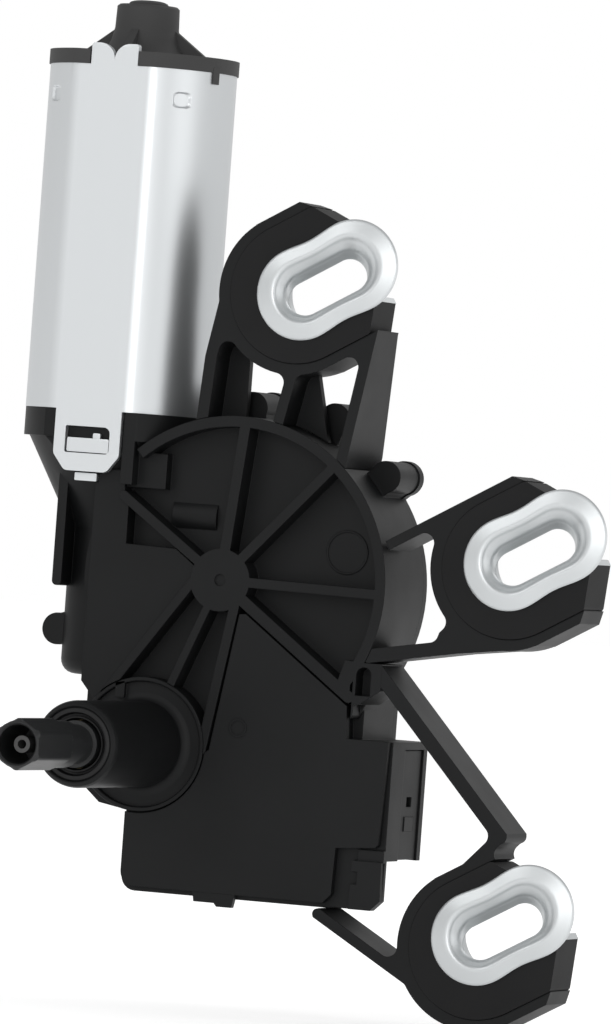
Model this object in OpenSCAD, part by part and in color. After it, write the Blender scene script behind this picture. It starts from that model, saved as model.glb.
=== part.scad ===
// Rear window wiper motor: a flat-sided motor on a ribbed gear case, with a hollow
// oscillating spindle and three rubber-mounted fork eyes.
// X is right, Y is away from the viewer, Z is up along the motor. The spindle axis is the Y axis.

/* [Gear case] */
// Depth from the rib fronts to the case's back joint
case_depth = 24; // [22:0.5:28]
// Depth of the ribbed pockets in the front
pocket_depth = 5.5; // [3:0.5:6]
// Thickness of the case floor behind the pockets
floor_t = 2; // [1.5:0.25:2.5]
// Thickness of the case's outer walls
wall = 2.2; // [1.6:0.1:2.6]
// Width of the ribs across the front
rib_w = 2; // [1.4:0.1:3]
// Outer radius of the round front rim
rim_r = 33.6; // [32:0.1:35]
// Radius of the hub at the wheel axle
hub_r = 6.4; // [5:0.1:8]
// Thickness of the rear cover
rear_cover_t = 2.5; // [2:0.25:4]

/* [Gear train] */
// Wheel axle across from the spindle
wheel_x = 14.8; // [14:0.1:16]
// Wheel axle above the spindle
wheel_z = 34.6; // [34:0.1:36]
// Motor shaft across from the spindle, to the left
motor_off_x = 15.5; // [15:0.1:16.5]
// Motor shaft behind the rib fronts
motor_y = 16; // [15.5:0.1:16.5]
// Teeth on the worm wheel
wheel_teeth = 48; // [40:1:56]
// Pitch radius of the worm
worm_pitch_r = 5; // [4.6:0.1:5.4]
// Teeth on the drive pinion and on the spindle gear
pinion_teeth = 20; // [20:2:24]
// Teeth on the idler
idler_teeth = 18; // [16:2:20]
// Face width of the worm wheel's rim
wheel_w = 5; // [4:0.25:6]
// Face width of the spur gears
spur_w = 4.6; // [3.5:0.1:5]
// Play between mating teeth
tooth_play = 0.3; // [0.2:0.05:0.4]
// Radial clearance of a running shaft
run_gap = 0.05; // [0.02:0.01:0.09]
// Radius of the wheel axle pin
wheel_pin_r = 2; // [1.5:0.1:2.5]
// Radius of the idler pin
idler_pin_r = 1.75; // [1.25:0.05:2.25]

/* [Spindle and neck] */
// Radius of the round spindle
spindle_r = 4.75; // [4.4:0.05:5]
// Corner radius of the hexagonal nose
hex_r = 5.35; // [5.2:0.05:5.6]
// How far the nose stands out of the case front
spindle_out = 69; // [64:0.5:76]
// Length of the hexagonal nose
hex_len = 19; // [14:0.5:24]
// Radius of the hole in the nose
nose_bore_r = 3.9; // [3.4:0.05:4.1]
// Depth of the hole in the nose
nose_bore_len = 14; // [10:0.5:18]
// Radius of the water passage through the spindle
passage_r = 2.6; // [2.2:0.05:3]
// Outer radius of the neck
neck_r = 8.8; // [8.5:0.1:9.6]
// How far the neck stands out of the case front
neck_out = 37; // [32:0.5:42]
// Outer radius of the plain bushes in the neck
neck_bush_r = 6.6; // [6.2:0.05:6.9]
// Length of each plain bush in the neck
neck_bush_len = 12; // [8:0.5:14]
// Radius of the seal seat in the neck's mouth
seal_seat_r = 7.4; // [7.1:0.05:7.8]
// Depth of the seal seat in the neck's mouth
seal_seat_len = 4; // [3:0.25:5]
// Outer radius of the round flange at the neck's root
flange_r = 13.75; // [13:0.05:14.5]
// Outer radius of the washer water pipe
pipe_r = 1.7; // [1.4:0.05:1.9]
// Radius of the water passage in the washer pipe
pipe_hole_r = 0.9; // [0.6:0.05:1.1]
// Radius of the spigot that takes the washer hose, behind the rear cover
spigot_r = 2.1; // [2:0.05:2.4]
// Length of the spigot that takes the washer hose
spigot_len = 6; // [5:0.5:10]

/* [Motor] */
// Outer radius of the motor can
can_r = 19; // [18.4:0.1:19.6]
// Width of the can across its two flats
can_flats = 34.8; // [33:0.1:36]
// Wall of the motor can
can_t = 1.6; // [1.2:0.1:1.8]
// Height of the can's lower edge above the spindle
can_z0 = 67.3; // [66:0.1:69]
// Length of the motor can
can_len = 69.7; // [64:0.1:76]
// Width of the can's front and back tongues
tongue_w = 14.4; // [12:0.1:15]
// Length of the can's front and back tongues
tongue_len = 12.6; // [11:0.1:13.5]
// Radius of the motor shaft
shaft_r = 2.5; // [2.2:0.05:3]
// Outer radius of the armature stack
armature_r = 12; // [11:0.1:12.4]
// Length of the armature stack
armature_len = 32; // [26:0.5:38]
// Air gap between armature and magnets
air_gap = 0.6; // [0.4:0.05:0.8]
// Thickness of the black end cap's rim
cap_t = 3; // [2.4:0.1:4]
// Radius of the end cap's boss
boss_r = 6.6; // [6:0.1:7.2]
// Height of the end cap's boss above its rim
boss_h = 11; // [9:0.1:13]

/* [Fork eyes] */
// Angle of the slots above the horizontal
slot_angle = 30; // [25:0.5:35]
// Distance between the centres of each slot's round ends
slot_span = 11.5; // [10:0.5:12.5]
// Half width of each bush's slot
slot_r = 3.25; // [3:0.05:3.5]
// Radius of each bush's flange ends
bush_flange_r = 9.7; // [9.4:0.05:10]
// Inner radius of each bush's sleeve behind its slotted front
bush_cup_r = 7.2; // [6.9:0.1:7.4]
// Wall of each bush's sleeve
bush_wall = 1.2; // [1:0.1:1.4]
// Height of the bush's crest in front of its rim
bush_crest = 1.6; // [0.8:0.1:2.2]
// Inner radius of each fork
fork_r = 14.5; // [14.2:0.1:15]
// Distance from each fork's round end back from its eye centre
fork_shift = 7.4; // [7:0.1:7.8]
// Radius of the fillets where arms meet the forks
fork_fillet = 2; // [1:0.25:3]
// Wall thickness of each fork
fork_wall = 2; // [1.6:0.1:2.6]
// Depth of the forks and their arms
fork_depth = 13; // [10:0.5:15]
// Upper fork's eye centre across from the spindle
upper_x = 33.5; // [33:0.1:34]
// Upper fork's eye centre above the spindle
upper_z = 97.7; // [97:0.1:99]
// Middle fork's eye centre across from the spindle
middle_x = 83.1; // [82:0.1:84]
// Middle fork's eye centre above the spindle
middle_z = 45.2; // [44.5:0.1:46]
// Lower fork's eye centre across from the spindle
lower_x = 81.9; // [81:0.1:83]
// Lower fork's eye centre below the spindle
lower_drop = 31.6; // [31:0.1:32.5]

/* [Electronics] */
// Left side of the electronics box, left of the spindle
box_left = 2.6; // [2:0.1:4]
// Right side of the electronics box from the spindle
box_right = 53.9; // [53:0.1:55]
// Bottom of the electronics box below the spindle
box_drop = 30; // [29:0.1:31]
// Thickness of the front cover plate
cover_t = 2; // [1.5:0.1:2.5]
// Thickness of the circuit board
board_t = 1.6; // [1:0.1:2]

/* [Hidden] */
$fn = 96;
eps = 0.01;
seat_gap = 0.1;
face_gap = 0.3;

floor_back = pocket_depth + floor_t;
cover_back = case_depth + rear_cover_t;
pipe_boss_y1 = cover_back + 2;
motor_x = -motor_off_x;
rim_x = wheel_x + 2;
rim_z = wheel_z;
rim_in = rim_r - 2.2;

wheel_pitch_r = wheel_x - motor_x - worm_pitch_r;
wheel_mod = 2 * wheel_pitch_r / wheel_teeth;
worm_lead = 2 * PI * wheel_pitch_r / wheel_teeth;
wheel_tip_r = wheel_pitch_r + 0.95 * wheel_mod;
worm_tip_r = worm_pitch_r + 0.95 * wheel_mod;
worm_root_r = worm_pitch_r - 1.15 * wheel_mod;
wheel_y0 = motor_y - wheel_w / 2;
wheel_y1 = motor_y + wheel_w / 2;
wheel_hub_r = 5;
worm_turns = 6;
worm_len = worm_turns * worm_lead;
worm_z0 = wheel_z - worm_len / 2;
worm_z1 = wheel_z + worm_len / 2;

axle_dist = sqrt(wheel_x * wheel_x + wheel_z * wheel_z);
axle_angle = atan2(wheel_z, wheel_x);
spur_mod = 2 * axle_dist / (2 * pinion_teeth + 2 * idler_teeth);
pinion_pitch_r = spur_mod * pinion_teeth / 2;
idler_pitch_r = spur_mod * idler_teeth / 2;
idler_dist = pinion_pitch_r + idler_pitch_r;
idler_x = idler_dist * cos(axle_angle);
idler_z = idler_dist * sin(axle_angle);
spur_y0 = floor_back + 0.7;
spur_y1 = spur_y0 + spur_w;

nose_y = -spindle_out;
mouth_y = -neck_out;
hex_y1 = nose_y + hex_len;
spindle_back = case_depth - 2;
seal_y1 = mouth_y + seal_seat_len;
front_bush_y0 = seal_y1 + face_gap;
rear_bush_y1 = pocket_depth;

can_z1 = can_z0 + can_len;
can_half = can_flats / 2;
flat_angle = acos(can_half / can_r);
collar_h = 5.8;
collar_z0 = can_z0 - collar_h;
tongue_z0 = can_z0 - tongue_len;
tab_half = 5.1;
tab_h = 4.3;
shoulder_r = 3.5;
magnet_in = armature_r + air_gap;
stack_z1 = can_z1 - 12;
stack_z0 = stack_z1 - armature_len;
winding_h = 6;
commutator_z1 = stack_z0 - winding_h - 1;
commutator_len = 10;
commutator_r = 7;
commutator_z0 = commutator_z1 - commutator_len;
shaft_top = can_z1 + cap_t + boss_h - 3;
shaft_bottom = worm_z0 - 8;
bearing_r = 5;
bearing_len = 6;
tunnel_r = 7.2;
tunnel_wall_r = 8.5;
cone_z0 = 42;
block_x = -14.2;
tunnel_z0 = shaft_bottom - 1.5;

box_z0 = -box_drop;
step_z = -19.7;
step_x = box_right - 8.7;
bay_x0 = box_right - 10.4;
flange_x0 = step_x + 2.1;
flange_y1 = 3.4;
cover_z1 = 4.5;
board_y0 = 9;
board_x0 = wheel_x + 5;
board_z1 = 2;

hole_half = slot_r;
sleeve_r = bush_cup_r + bush_wall;
slot_lip = 1.2;
bush_back = fork_depth;
grommet_end = 11.2;
grommet_r = fork_r - seat_gap;
grommet_nose = 6.2;
fork_back = 0.6;
fork_out_r = fork_r + fork_wall;

// Extrudes an outline drawn in X and Z from depth y0 to depth y1
module slab(y0, y1) {
  rotate([90, 0, 0])
    translate([0, 0, -y1])
      linear_extrude(y1 - y0)
        children();
}

// Cylinder along Y
module rod(x, z, r, y0, y1, sides = $fn) {
  slab(y0, y1)
    translate([x, z])
      circle(r, $fn = sides);
}

// Tube along Y
module pipe(x, z, r_out, r_in, y0, y1) {
  slab(y0, y1)
    translate([x, z])
      difference() {
        circle(r_out);
        circle(r_in);
      }
}

// Straight strip of width w between two points, with round ends
module strip(p, q, w) {
  run = q - p;
  translate(p)
    rotate(atan2(run[1], run[0]))
      translate([0, -w / 2])
        square([norm(run), w]);
  for (end = [p, q])
    translate(end)
      circle(w / 2, $fn = 32);
}

// Box between two corners
module span(low, high) {
  translate(low)
    cube(high - low);
}

// Pie slice from angle a0 to a1, wide enough to trim anything of radius r
module slice(r, a0, a1) {
  steps = 8;
  polygon(concat([[0, 0]], [
    for (i = [0 : steps])
      let (a = a0 + (a1 - a0) * i / steps)
        2 * r * [cos(a), sin(a)]
  ]));
}

function involute(base, t) = base * [cos(t) + t * PI / 180 * sin(t), sin(t) - t * PI / 180 * cos(t)];
function involute_angle(base, r) = sqrt(max(0, r * r / (base * base) - 1)) * 180 / PI;
function turned(p, a) = [p[0] * cos(a) - p[1] * sin(a), p[0] * sin(a) + p[1] * cos(a)];

// Flank of a gear tooth as points from root to tip, for a tooth centred on angle 0
function flank(base, root, tip, half) =
  let (steps = 3, t1 = involute_angle(base, tip), first = max(root, base))
    concat([root * [cos(half), -sin(half)]], [
      for (i = [0 : steps])
        let (t = involute_angle(base, first) + (t1 - involute_angle(base, first)) * i / steps)
          turned(involute(base, t), -half)
    ]);

// Outline of a spur gear with a tooth centred on angle 0
module gear_outline(teeth, m, play) {
  pitch = m * teeth / 2;
  base = pitch * cos(20);
  root = pitch - 1.2 * m;
  tip = pitch + 0.95 * m;
  t_pitch = involute_angle(base, pitch);
  swing = t_pitch - atan2(t_pitch * PI / 180, 1);
  half = 90 / teeth + swing - play / 2 / pitch * 180 / PI;
  side = flank(base, root, tip, half);
  n = len(side) - 1;
  tooth = concat(side, [for (i = [n : -1 : 0]) [side[i][0], -side[i][1]]]);
  polygon([
    for (k = [0 : teeth - 1])
      for (p = tooth)
        turned(p, k * 360 / teeth)
  ]);
}

// Outline of the worm wheel with a gap centred on angle 180
module wheel_outline() {
  root = wheel_pitch_r - 1.2 * wheel_mod;
  half_pitch = (worm_lead / 2 - tooth_play) / 2;
  lean = tan(20);
  w_root = half_pitch + (wheel_pitch_r - root) * lean;
  w_tip = half_pitch - (wheel_tip_r - wheel_pitch_r) * lean;
  tooth = [[root, -w_root], [wheel_tip_r, -w_tip], [wheel_tip_r, w_tip], [root, w_root]];
  first = 180 + 180 / wheel_teeth;
  polygon([
    for (k = [0 : wheel_teeth - 1])
      for (p = tooth)
        turned(p, first + k * 360 / wheel_teeth)
  ]);
}

// Rounded lower left corner of the electronics box, moved in by dx and dz
function low_corner(dx, dz) = [
  for (a = [180 : 15 : 270]) [-box_left + dx + 3, box_z0 + dz + 3] + turned([3, 0], a)
];

// A list of points the other way round
function backwards(points) = [for (i = [len(points) - 1 : -1 : 0]) points[i]];

// Outline of the whole case seen from the front
module case_outline() {
  translate([rim_x, rim_z])
    circle(rim_r);
  polygon([
    [block_x, collar_z0], [block_x, -9], [-10, -12.7],
    [-box_left, -14], each low_corner(0, 0), [step_x - 2.5, box_z0],
    [step_x, box_z0 + 2.5], [step_x, step_z], [box_right, step_z], [box_right, cover_z1],
    [46, cover_z1], [46, 20], [rim_x, rim_z], [-4, collar_z0]
  ]);
}

// Outline of the rear cover, which stops below the motor's collar
module lid_outline() {
  translate([rim_x, rim_z])
    circle(rim_r);
  intersection() {
    union() {
      case_outline();
      tunnel_outline();
    }
    translate([-40, -60])
      square([40 + box_right - 2.2, 60 + cone_z0 - seat_gap]);
  }
}

// Outline of the worm tunnel's back half, left of the case
module tunnel_outline() {
  polygon([
    [block_x + 1, collar_z0], [-23.6, collar_z0], [-23.6, 31], [-22, 31], [-19.8, 14.3], [-18.4, 13],
    [block_x + 1, 12.6]
  ]);
}

// Space inside the gear chamber, open at the back
module gear_chamber() {
  translate([wheel_x, wheel_z])
    circle(wheel_tip_r + 1.2);
  circle(pinion_pitch_r + 2.4);
  translate([idler_x, idler_z])
    circle(idler_pitch_r + 2.4);
  translate([idler_x, idler_z] / 2)
    circle(pinion_pitch_r + 1.2);
}

// Space inside the electronics box, open at the front
module board_chamber() {
  translate([board_x0 - 2, box_z0 + wall])
    square([step_x - wall - board_x0 + 0.8, board_z1 + 2 - box_z0 - wall]);
  translate([5, box_z0 + wall + 2])
    square([board_x0 - 5, 9.6]);
}

// Outline of the front cover plate over the electronics
module cover_outline() {
  difference() {
    polygon([
      [15, 0], [19.5, 28], [20.9, 28.1], [44, 11.1], [44.4, cover_z1], [box_right - 0.4, cover_z1],
      [box_right - 1.1, -16.4], [box_right - 1.6, -17], [step_x - 1.4, -17.7], [step_x - 1.7, -27.2],
      [step_x - 3.4, box_z0 + 1], each backwards(low_corner(0.4, 1)), [-box_left + 0.4, -13.2]
    ]);
    circle(flange_r + face_gap);
  }
}

// Ribbed front, walls and chambers of the gear case
module gear_housing() {
  color("#242526")
    difference() {
      union() {
        slab(pocket_depth, case_depth)
          case_outline();
        slab(motor_y - 3, case_depth)
          tunnel_outline();
        front_ribs();
        left_front();
        corner_flange();
        slab(cover_t + seat_gap, case_depth)
          difference() {
            lower_front();
            circle(flange_r + seat_gap);
          }
        motor_collar();
        intersection() {
          translate([motor_x, motor_y, 0])
            rotate_extrude()
              polygon([
                [0, 13], each [for (a = [-90 : 15 : 0]) [tunnel_wall_r - 3, 16] + turned([3, 0], a)],
                [tunnel_wall_r, collar_z0], [0, collar_z0]
              ]);
          span([-40, 0, 12], [0, case_depth, collar_z0]);
        }
        worm_bumps();
        screw_lugs();
        slab(0, fork_depth)
          elbow_outline();
      }
      slab(floor_back, case_depth + eps)
        gear_chamber();
      slab(cover_t, case_depth - wall)
        board_chamber();
      worm_tunnel();
      motor_socket();
      clip_pocket();
      arch_slot();
      rod(wheel_x, wheel_z, wheel_pin_r, 1.4, case_depth);
      rod(wheel_x, wheel_z, 1.2, -1, 0.5, 32);
      rod(idler_x, idler_z, idler_pin_r, floor_back - 1.6, case_depth);
      rod(0, 0, neck_r, -1, floor_back + eps);
      connector_bay();
      screw_holes(screw_len + 1);
    }
}

// Corner where the lower brace meets the case
module elbow_outline() {
  polygon([[45, 8.6], [46.6, 11.6], [elbow_x, 14.6], [elbow_x, 20.1], [45, 20.1]]);
}

// Arched slot and small window beside the cover plate
module arch_slot() {
  slab(-1, 4.4) {
    translate([45.6, 13.4])
      square([3.2, 4.2]);
    translate([47.2, 17.6])
      circle(1.6, $fn = 48);
    translate([45.4, 8.9])
      square([3.2, 2.6]);
  }
}

// Bosses at the case's edge that take the rear cover's screws
module screw_lugs() {
  centre = [rim_x, rim_z];
  for (i = [0 : len(screw_spots) - 2])
    slab(case_depth - lug_len, case_depth)
      let (p = screw_spots[i]) {
        translate(p)
          circle(lug_r);
        strip(p, p + 0.16 * (centre - p), 2 * lug_r - 0.6);
      }
}

// Front of the electronics box behind the cover plate
module lower_front() {
  polygon([
    [12, -4], [wheel_x + 7.2, 25], [43.6, 11], [44, cover_z1], [box_right, cover_z1],
    [box_right, step_z], [step_x, step_z], [step_x, box_z0 + 2.5], [step_x - 2.5, box_z0],
    each backwards(low_corner(0, 0)), [-box_left, -13]
  ]);
}

// Thin flange beside the cover plate's lower corner, with a latch slot between them
module corner_flange() {
  low = box_z0 + 0.2;
  slab(0.5, flange_y1)
    difference() {
      polygon([
        [flange_x0, step_z - 0.2], [box_right - 0.2, step_z - 0.2], [box_right, low + 2], [box_right - 2, low],
        [flange_x0, low]
      ]);
      translate([flange_x0 - 1, step_z - 5])
        square([2.4, 2.6]);
    }
  slab(1.2, flange_y1)
    translate([flange_x0 + 1, step_z - 0.3])
      square([box_right - flange_x0 - 1, 2.4]);
  slab(cover_t + seat_gap, flange_y1)
    polygon([
      [step_x - wall, step_z + 2], [box_right, step_z + 2], [box_right, low + 2], [box_right - 2, low],
      [step_x - wall, low]
    ]);
}

// Round rim, hub and spokes
module front_ribs() {
  hub = [wheel_x, wheel_z];
  rim = [rim_x, rim_z];
  reach = rim_r - 1.2;
  slab(0, pocket_depth + eps)
    difference() {
      union() {
        translate(rim)
          intersection() {
            difference() {
              circle(rim_r);
              circle(rim_in);
            }
            slice(rim_r, -40, 131);
          }
        translate(hub)
          circle(hub_r);
        strip(hub, rim + reach * [cos(88), sin(88)], rib_w + 0.2);
        strip(hub, rim + reach * [cos(50), sin(50)], rib_w);
        strip(hub, rim + reach * [cos(-1), sin(-1)], rib_w);
        strip(hub, [44.2, 13], rib_w + 0.4);
        strip(hub, [5.4, 11.8], rib_w - 0.4);
        strip(hub + [3.6, -4.6], [13.4, 0], rib_w);
        strip(hub + [-5.4, 0], [-10.2, 7.6], rib_w - 0.2);
        strip(hub, [-7.4, 50.4], rib_w);
        polygon([[41.5, 15.6], [44.4, 11.6], [44.4, 18.4], [46.2, 20.2], [43, 20.4]]);
      }
      circle(flange_r + seat_gap);
    }
}

// Raised plate between the worm tunnel and the hub
module left_front() {
  slab(1.2, pocket_depth + eps)
    difference() {
      polygon([
        [-7.6, 50.6], [-6.6, 50.6], [-6.6, 40.6], [4.4, 40.3], [9.6, 36.4], [9.6, 33], [-10.6, 7.8],
        [-14.2, 12], [-14.2, collar_z0 - 6], [-8, collar_z0 - 6]
      ]);
      circle(flange_r + seat_gap);
    }
}

// Black collar that the motor can stands on, tapering into the worm tunnel
module motor_collar() {
  difference() {
    union() {
      translate([motor_x, motor_y, collar_z0])
        can_section(can_r + 0.5, can_half - 0.7, collar_h);
      motor_cone();
    }
    slab(case_depth, case_depth + 20)
      translate([rim_x, rim_z])
        circle(rim_r + seat_gap);
  }
  span([-8.2, motor_y - can_half + 0.7, tongue_z0 - 2], [-5.6, 12, collar_z0 + 1]);
  slab(3.8, 16) {
    translate([-23.2, 32])
      square([2, collar_z0 - 32]);
    translate([-22.2, 32])
      circle(1);
  }
}

// Taper from the collar to the worm tunnel
module motor_cone() {
  intersection() {
    translate([motor_x, motor_y, cone_z0])
      cylinder(h = collar_z0 - cone_z0 + 0.1, r1 = tunnel_wall_r - 0.5, r2 = can_r - 0.6);
    span([-40, 0.8, cone_z0 - 1], [20, motor_y + can_half - 1, collar_z0 + 0.2]);
  }
}

// Shallow bumps of the worm bearings in the front pockets
module worm_bumps() {
  bump_r = 4;
  translate([1.7, floor_back + 1, 47.2])
    rotate([0, 90, 0])
      cylinder(h = 9.7, r = bump_r);
  span([-8, 2.6, 52.2], [0.6, pocket_depth + eps, 59.4]);
  pipe(39.9, 42.1, 4.5, 4.1, pocket_depth - 0.25, pocket_depth + eps);
}

// Cylinder with two flats, along Z
module can_section(r, half, h) {
  intersection() {
    cylinder(h = h, r = r);
    translate([-r, -half, 0])
      cube([2 * r, 2 * half, h]);
  }
}

// Space for the shaft, its worm and its lower bearing
module worm_tunnel() {
  translate([motor_x, motor_y, tunnel_z0])
    cylinder(h = collar_z0 - tunnel_z0, r = tunnel_r);
  translate([motor_x, motor_y, tunnel_z0])
    cylinder(h = 60, r = bearing_r);
}

// Space in the collar for the brush plate, and for the can's tongues
module motor_socket() {
  translate([motor_x, motor_y, collar_z0 - 2])
    can_section(can_r - 3.4, can_half - 3, 20);
  for (side = [-1, 1])
    translate([motor_x - tongue_w / 2 - seat_gap, motor_y + side * can_half, tongue_z0 - seat_gap])
      translate([0, side < 0 ? -2 : -can_t - seat_gap, 0])
        cube([tongue_w + 2 * seat_gap, can_t + seat_gap + 2, tongue_len + 2]);
}

// Pocket behind the steel clip
module clip_pocket() {
  y1 = motor_y - can_half + can_t + 2 + seat_gap;
  span([motor_x - 3 - seat_gap, -2, tongue_z0 - 2], [motor_x + 1.8 + seat_gap, y1, tongue_z0 + 1]);
}

// Bay for the connector in the case's lower right side
module connector_bay() {
  span([bay_x0, 10, step_z - 4], [box_right + 1, case_depth - wall, cover_z1 - 1.5]);
}

screw_spots = [[44.4, 58], [14.6, 70.2], [32.6, 69], [-24.6, 22], [1.2, -22]];
lug_r = 3.3;
screw_r = 1.2;
screw_len = 6;
lug_len = 11.5;
elbow_x = 51;

// Holes for the rear cover's screws
module screw_holes(depth) {
  for (p = screw_spots)
    rod(p[0], p[1], screw_r + seat_gap, case_depth - depth, case_depth + 10, 24);
}

// Neck with its round flange and shallow cup, pressed through the case floor
module spindle_neck() {
  lip_y = 0.2;
  color("#262728")
    difference() {
      union() {
        rod(0, 0, neck_r, mouth_y, floor_back);
        pipe(0, 0, flange_r, flange_r - 0.9, lip_y, pocket_depth);
        pipe(0, 0, flange_r - 0.85, neck_r - 0.5, 1.2, pocket_depth);
        translate([0, 1.3, 0])
          rotate([90, 0, 0])
            cylinder(h = 1.3, r1 = neck_r + 1.8, r2 = neck_r);
        span([-6.2, lip_y, 9.2], [-4.2, 1.3, 12.4]);
      }
      rod(0, 0, neck_bush_r, mouth_y - 1, floor_back + 1);
      rod(0, 0, seal_seat_r, mouth_y - 1, seal_y1);
    }
}

// Point in a fork's own frame: a runs along the slot and b across it
function fork_point(eye, a, b) = eye + turned([a, b], slot_angle);

// U-shaped wall of a fork, open along its slot
module fork_wall_outline() {
  back = -fork_shift - fork_back;
  tip = grommet_end + grommet_nose;
  difference() {
    translate([back, 0])
      circle(fork_out_r);
    translate([back, -fork_out_r - 1])
      square([3 * fork_r, 2 * fork_out_r + 2]);
    fork_bore();
  }
  difference() {
    polygon([
      [back - 0.1, -fork_out_r], [tip - fork_out_r, -fork_out_r], [tip - fork_r, -fork_r], [tip - fork_r, fork_r],
      [tip - fork_out_r, fork_out_r], [back - 0.1, fork_out_r]
    ]);
    fork_bore();
  }
}

// Places an outline drawn in a fork's own frame
module at_eye(eye) {
  translate(eye)
    rotate(slot_angle)
      children();
}

upper_eye = [upper_x, upper_z];
middle_eye = [middle_x, middle_z];
lower_eye = [lower_x, -lower_drop];
arm_y1 = fork_depth;
web_y = 8;
rim_clear = rim_r + seat_gap;

// Keeps an arm clear of the round rim and the case
module off_case() {
  difference() {
    children();
    translate([rim_x, rim_z])
      circle(rim_clear);
    polygon([[20, 8], [46 + seat_gap, 8], [46 + seat_gap, 20], [rim_x, rim_z]]);
  }
}

// Rounds the inner corners of an outline
module filleted(r) {
  offset(r = -r)
    offset(delta = r)
      children();
}

// Upper fork with its three ribs
module upper_fork() {
  left_top = fork_point(upper_eye, -fork_shift - fork_out_r + 0.4, 5);
  foot = rim_z + rim_r;
  color("#2a2b2c") {
    slab(0, arm_y1)
      off_case() {
        difference() {
          filleted(fork_fillet)
            off_case() {
              at_eye(upper_eye)
                fork_wall_outline();
              polygon([
                [left_top[0] - 0.6, left_top[1]], [8.1, 80], [7, foot - 4], [9.4, foot - 4], [10.6, 80],
                [12.4, 88], [left_top[0] + 3, left_top[1]]
              ]);
              strip([27.2, 78.2], [24.6, foot - 2], rib_w + 0.2);
              strip([43.8, 88], [38.6, 58], rib_w + 0.2);
            }
          at_eye(upper_eye)
            fork_bore();
        }
      }
    intersection() {
      slab(0, 22)
        off_case()
          difference() {
            strip([43.8, 88], [38.6, 58], rib_w + 0.2);
            at_eye(upper_eye)
              fork_bore();
          }
      translate([30, 0, 0])
        rotate([90, 0, 90])
          linear_extrude(20)
            polygon([[0, 50], [22, 50], [21.5, 62], [fork_depth, 87], [0, 87]]);
    }
    slab(web_y, web_y + 2)
      off_case() {
        polygon([[9, 90], [7.6, foot - 2], [15, foot - 3], [15, 82.5], [17.6, 81]]);
        polygon([[26, 79], [24, foot - 2], [34, foot - 8], [30, 78]]);
      }
  }
}

// Space inside a fork's wall
module fork_bore() {
  translate([-fork_shift, 0])
    circle(fork_r);
  translate([-fork_shift, -fork_r])
    square([3 * fork_r, 2 * fork_r]);
}

// Middle fork with its two ribs
module middle_fork() {
  color("#2a2b2c") {
    slab(0, arm_y1)
      off_case() {
        difference() {
          filleted(fork_fillet) {
            at_eye(middle_eye) {
              fork_wall_outline();
              translate([-29, fork_r])
                square([24, fork_wall]);
            }
            strip([48, 21.6], [64, 24.4], 2.8);
            polygon([[61, 22.7], [62.6, 27.4], [66, 31], [72, 33], [80, 27], [80, 25.2]]);
          }
          at_eye(middle_eye)
            fork_bore();
        }
      }
  }
}

// Lower fork with its two braces
module lower_fork() {
  brace_corner = lower_eye + [-3.3, 19];
  brace_foot = lower_eye + [-19.5, -12];
  color("#2a2b2c") {
    slab(0, arm_y1)
      difference() {
        filleted(fork_fillet) {
          at_eye(lower_eye)
            fork_wall_outline();
          strip([49.4, 19.4], brace_corner, 2.9);
          strip(brace_corner, fork_point(lower_eye, -2, fork_r + fork_wall / 2), 2.4);
          strip([41, box_z0 - 1.2 - seat_gap], brace_foot, 2.2);
          strip(brace_foot, fork_point(lower_eye, -fork_shift - 6, -fork_r - 0.4), 2.2);
        }
        at_eye(lower_eye)
          fork_bore();
        translate([elbow_x - 20, 5])
          square([20, 20]);
        mirror([0, 1])
          translate([0, box_drop - 20])
            square([step_x, 20 + seat_gap]);
      }
  }
}

// Rubber block that fills a fork round its bush
module grommet(eye) {
  centre = -fork_shift;
  nose = grommet_nose;
  color("#1c1c1d")
    slab(-0.4, fork_depth - 0.4)
      at_eye(eye)
        difference() {
          union() {
            translate([centre, 0])
              circle(grommet_r);
            polygon([
              [centre, -grommet_r], [grommet_end - grommet_r + nose, -grommet_r], [grommet_end, -nose],
              [grommet_end, nose], [grommet_end - grommet_r + nose, grommet_r], [centre, grommet_r]
            ]);
          }
          slot_outline(sleeve_r);
        }
}

// Slot with round ends
module slot_outline(r) {
  for (side = [-1, 1])
    translate([side * slot_span / 2, 0])
      circle(r);
  translate([-slot_span / 2, -r])
    square([slot_span, 2 * r]);
}

// Half section of a bush, a sleeve with a dished and slotted front: radius from the slot's centre line, and depth
function bush_section() = [
  [hole_half, 3], [hole_half, 1.7], [hole_half + slot_lip, 0.4], [hole_half + slot_lip + 1, -1.2],
  [hole_half + 2.9, -0.5 - bush_crest], [hole_half + 3.7, -0.6 - bush_crest], [bush_flange_r - 0.9, -1.7],
  [bush_flange_r, -1.1], [bush_flange_r, -0.4], [sleeve_r, -0.4], [sleeve_r, bush_back],
  [bush_cup_r, bush_back], [bush_cup_r, -0.3], [hole_half + 3.2, -0.7], [hole_half + 2.5, 0.4],
  [hole_half + 1.8, 1.7], [hole_half + 1, 3]
];

// Pressed steel bush with a slotted hole and a crested flange
module slotted_bush(eye) {
  color("#c3c7ca")
    translate([eye[0], 0, eye[1]])
      rotate([0, -slot_angle, 0])
        rotate([90, 0, 0]) {
          section = [for (p = bush_section()) [p[0], -p[1]]];
          difference() {
            union() {
              for (side = [-1, 1])
                translate([side * slot_span / 2, 0, 0])
                  rotate([0, 0, side * -90])
                    rotate_extrude(angle = 180)
                      polygon(section);
              for (side = [-1, 1])
                translate([-slot_span / 2, 0, 0])
                  rotate([90, 0, 90])
                    linear_extrude(slot_span)
                      polygon([for (p = section) [side * p[0], p[1]]]);
            }
            translate([0, 0, -30])
              linear_extrude(30.25)
                difference() {
                  translate([grommet_end - 0.7, -20])
                    square([20, 40]);
                  slot_outline(bush_cup_r - 0.1);
                }
          }
        }
}

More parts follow.
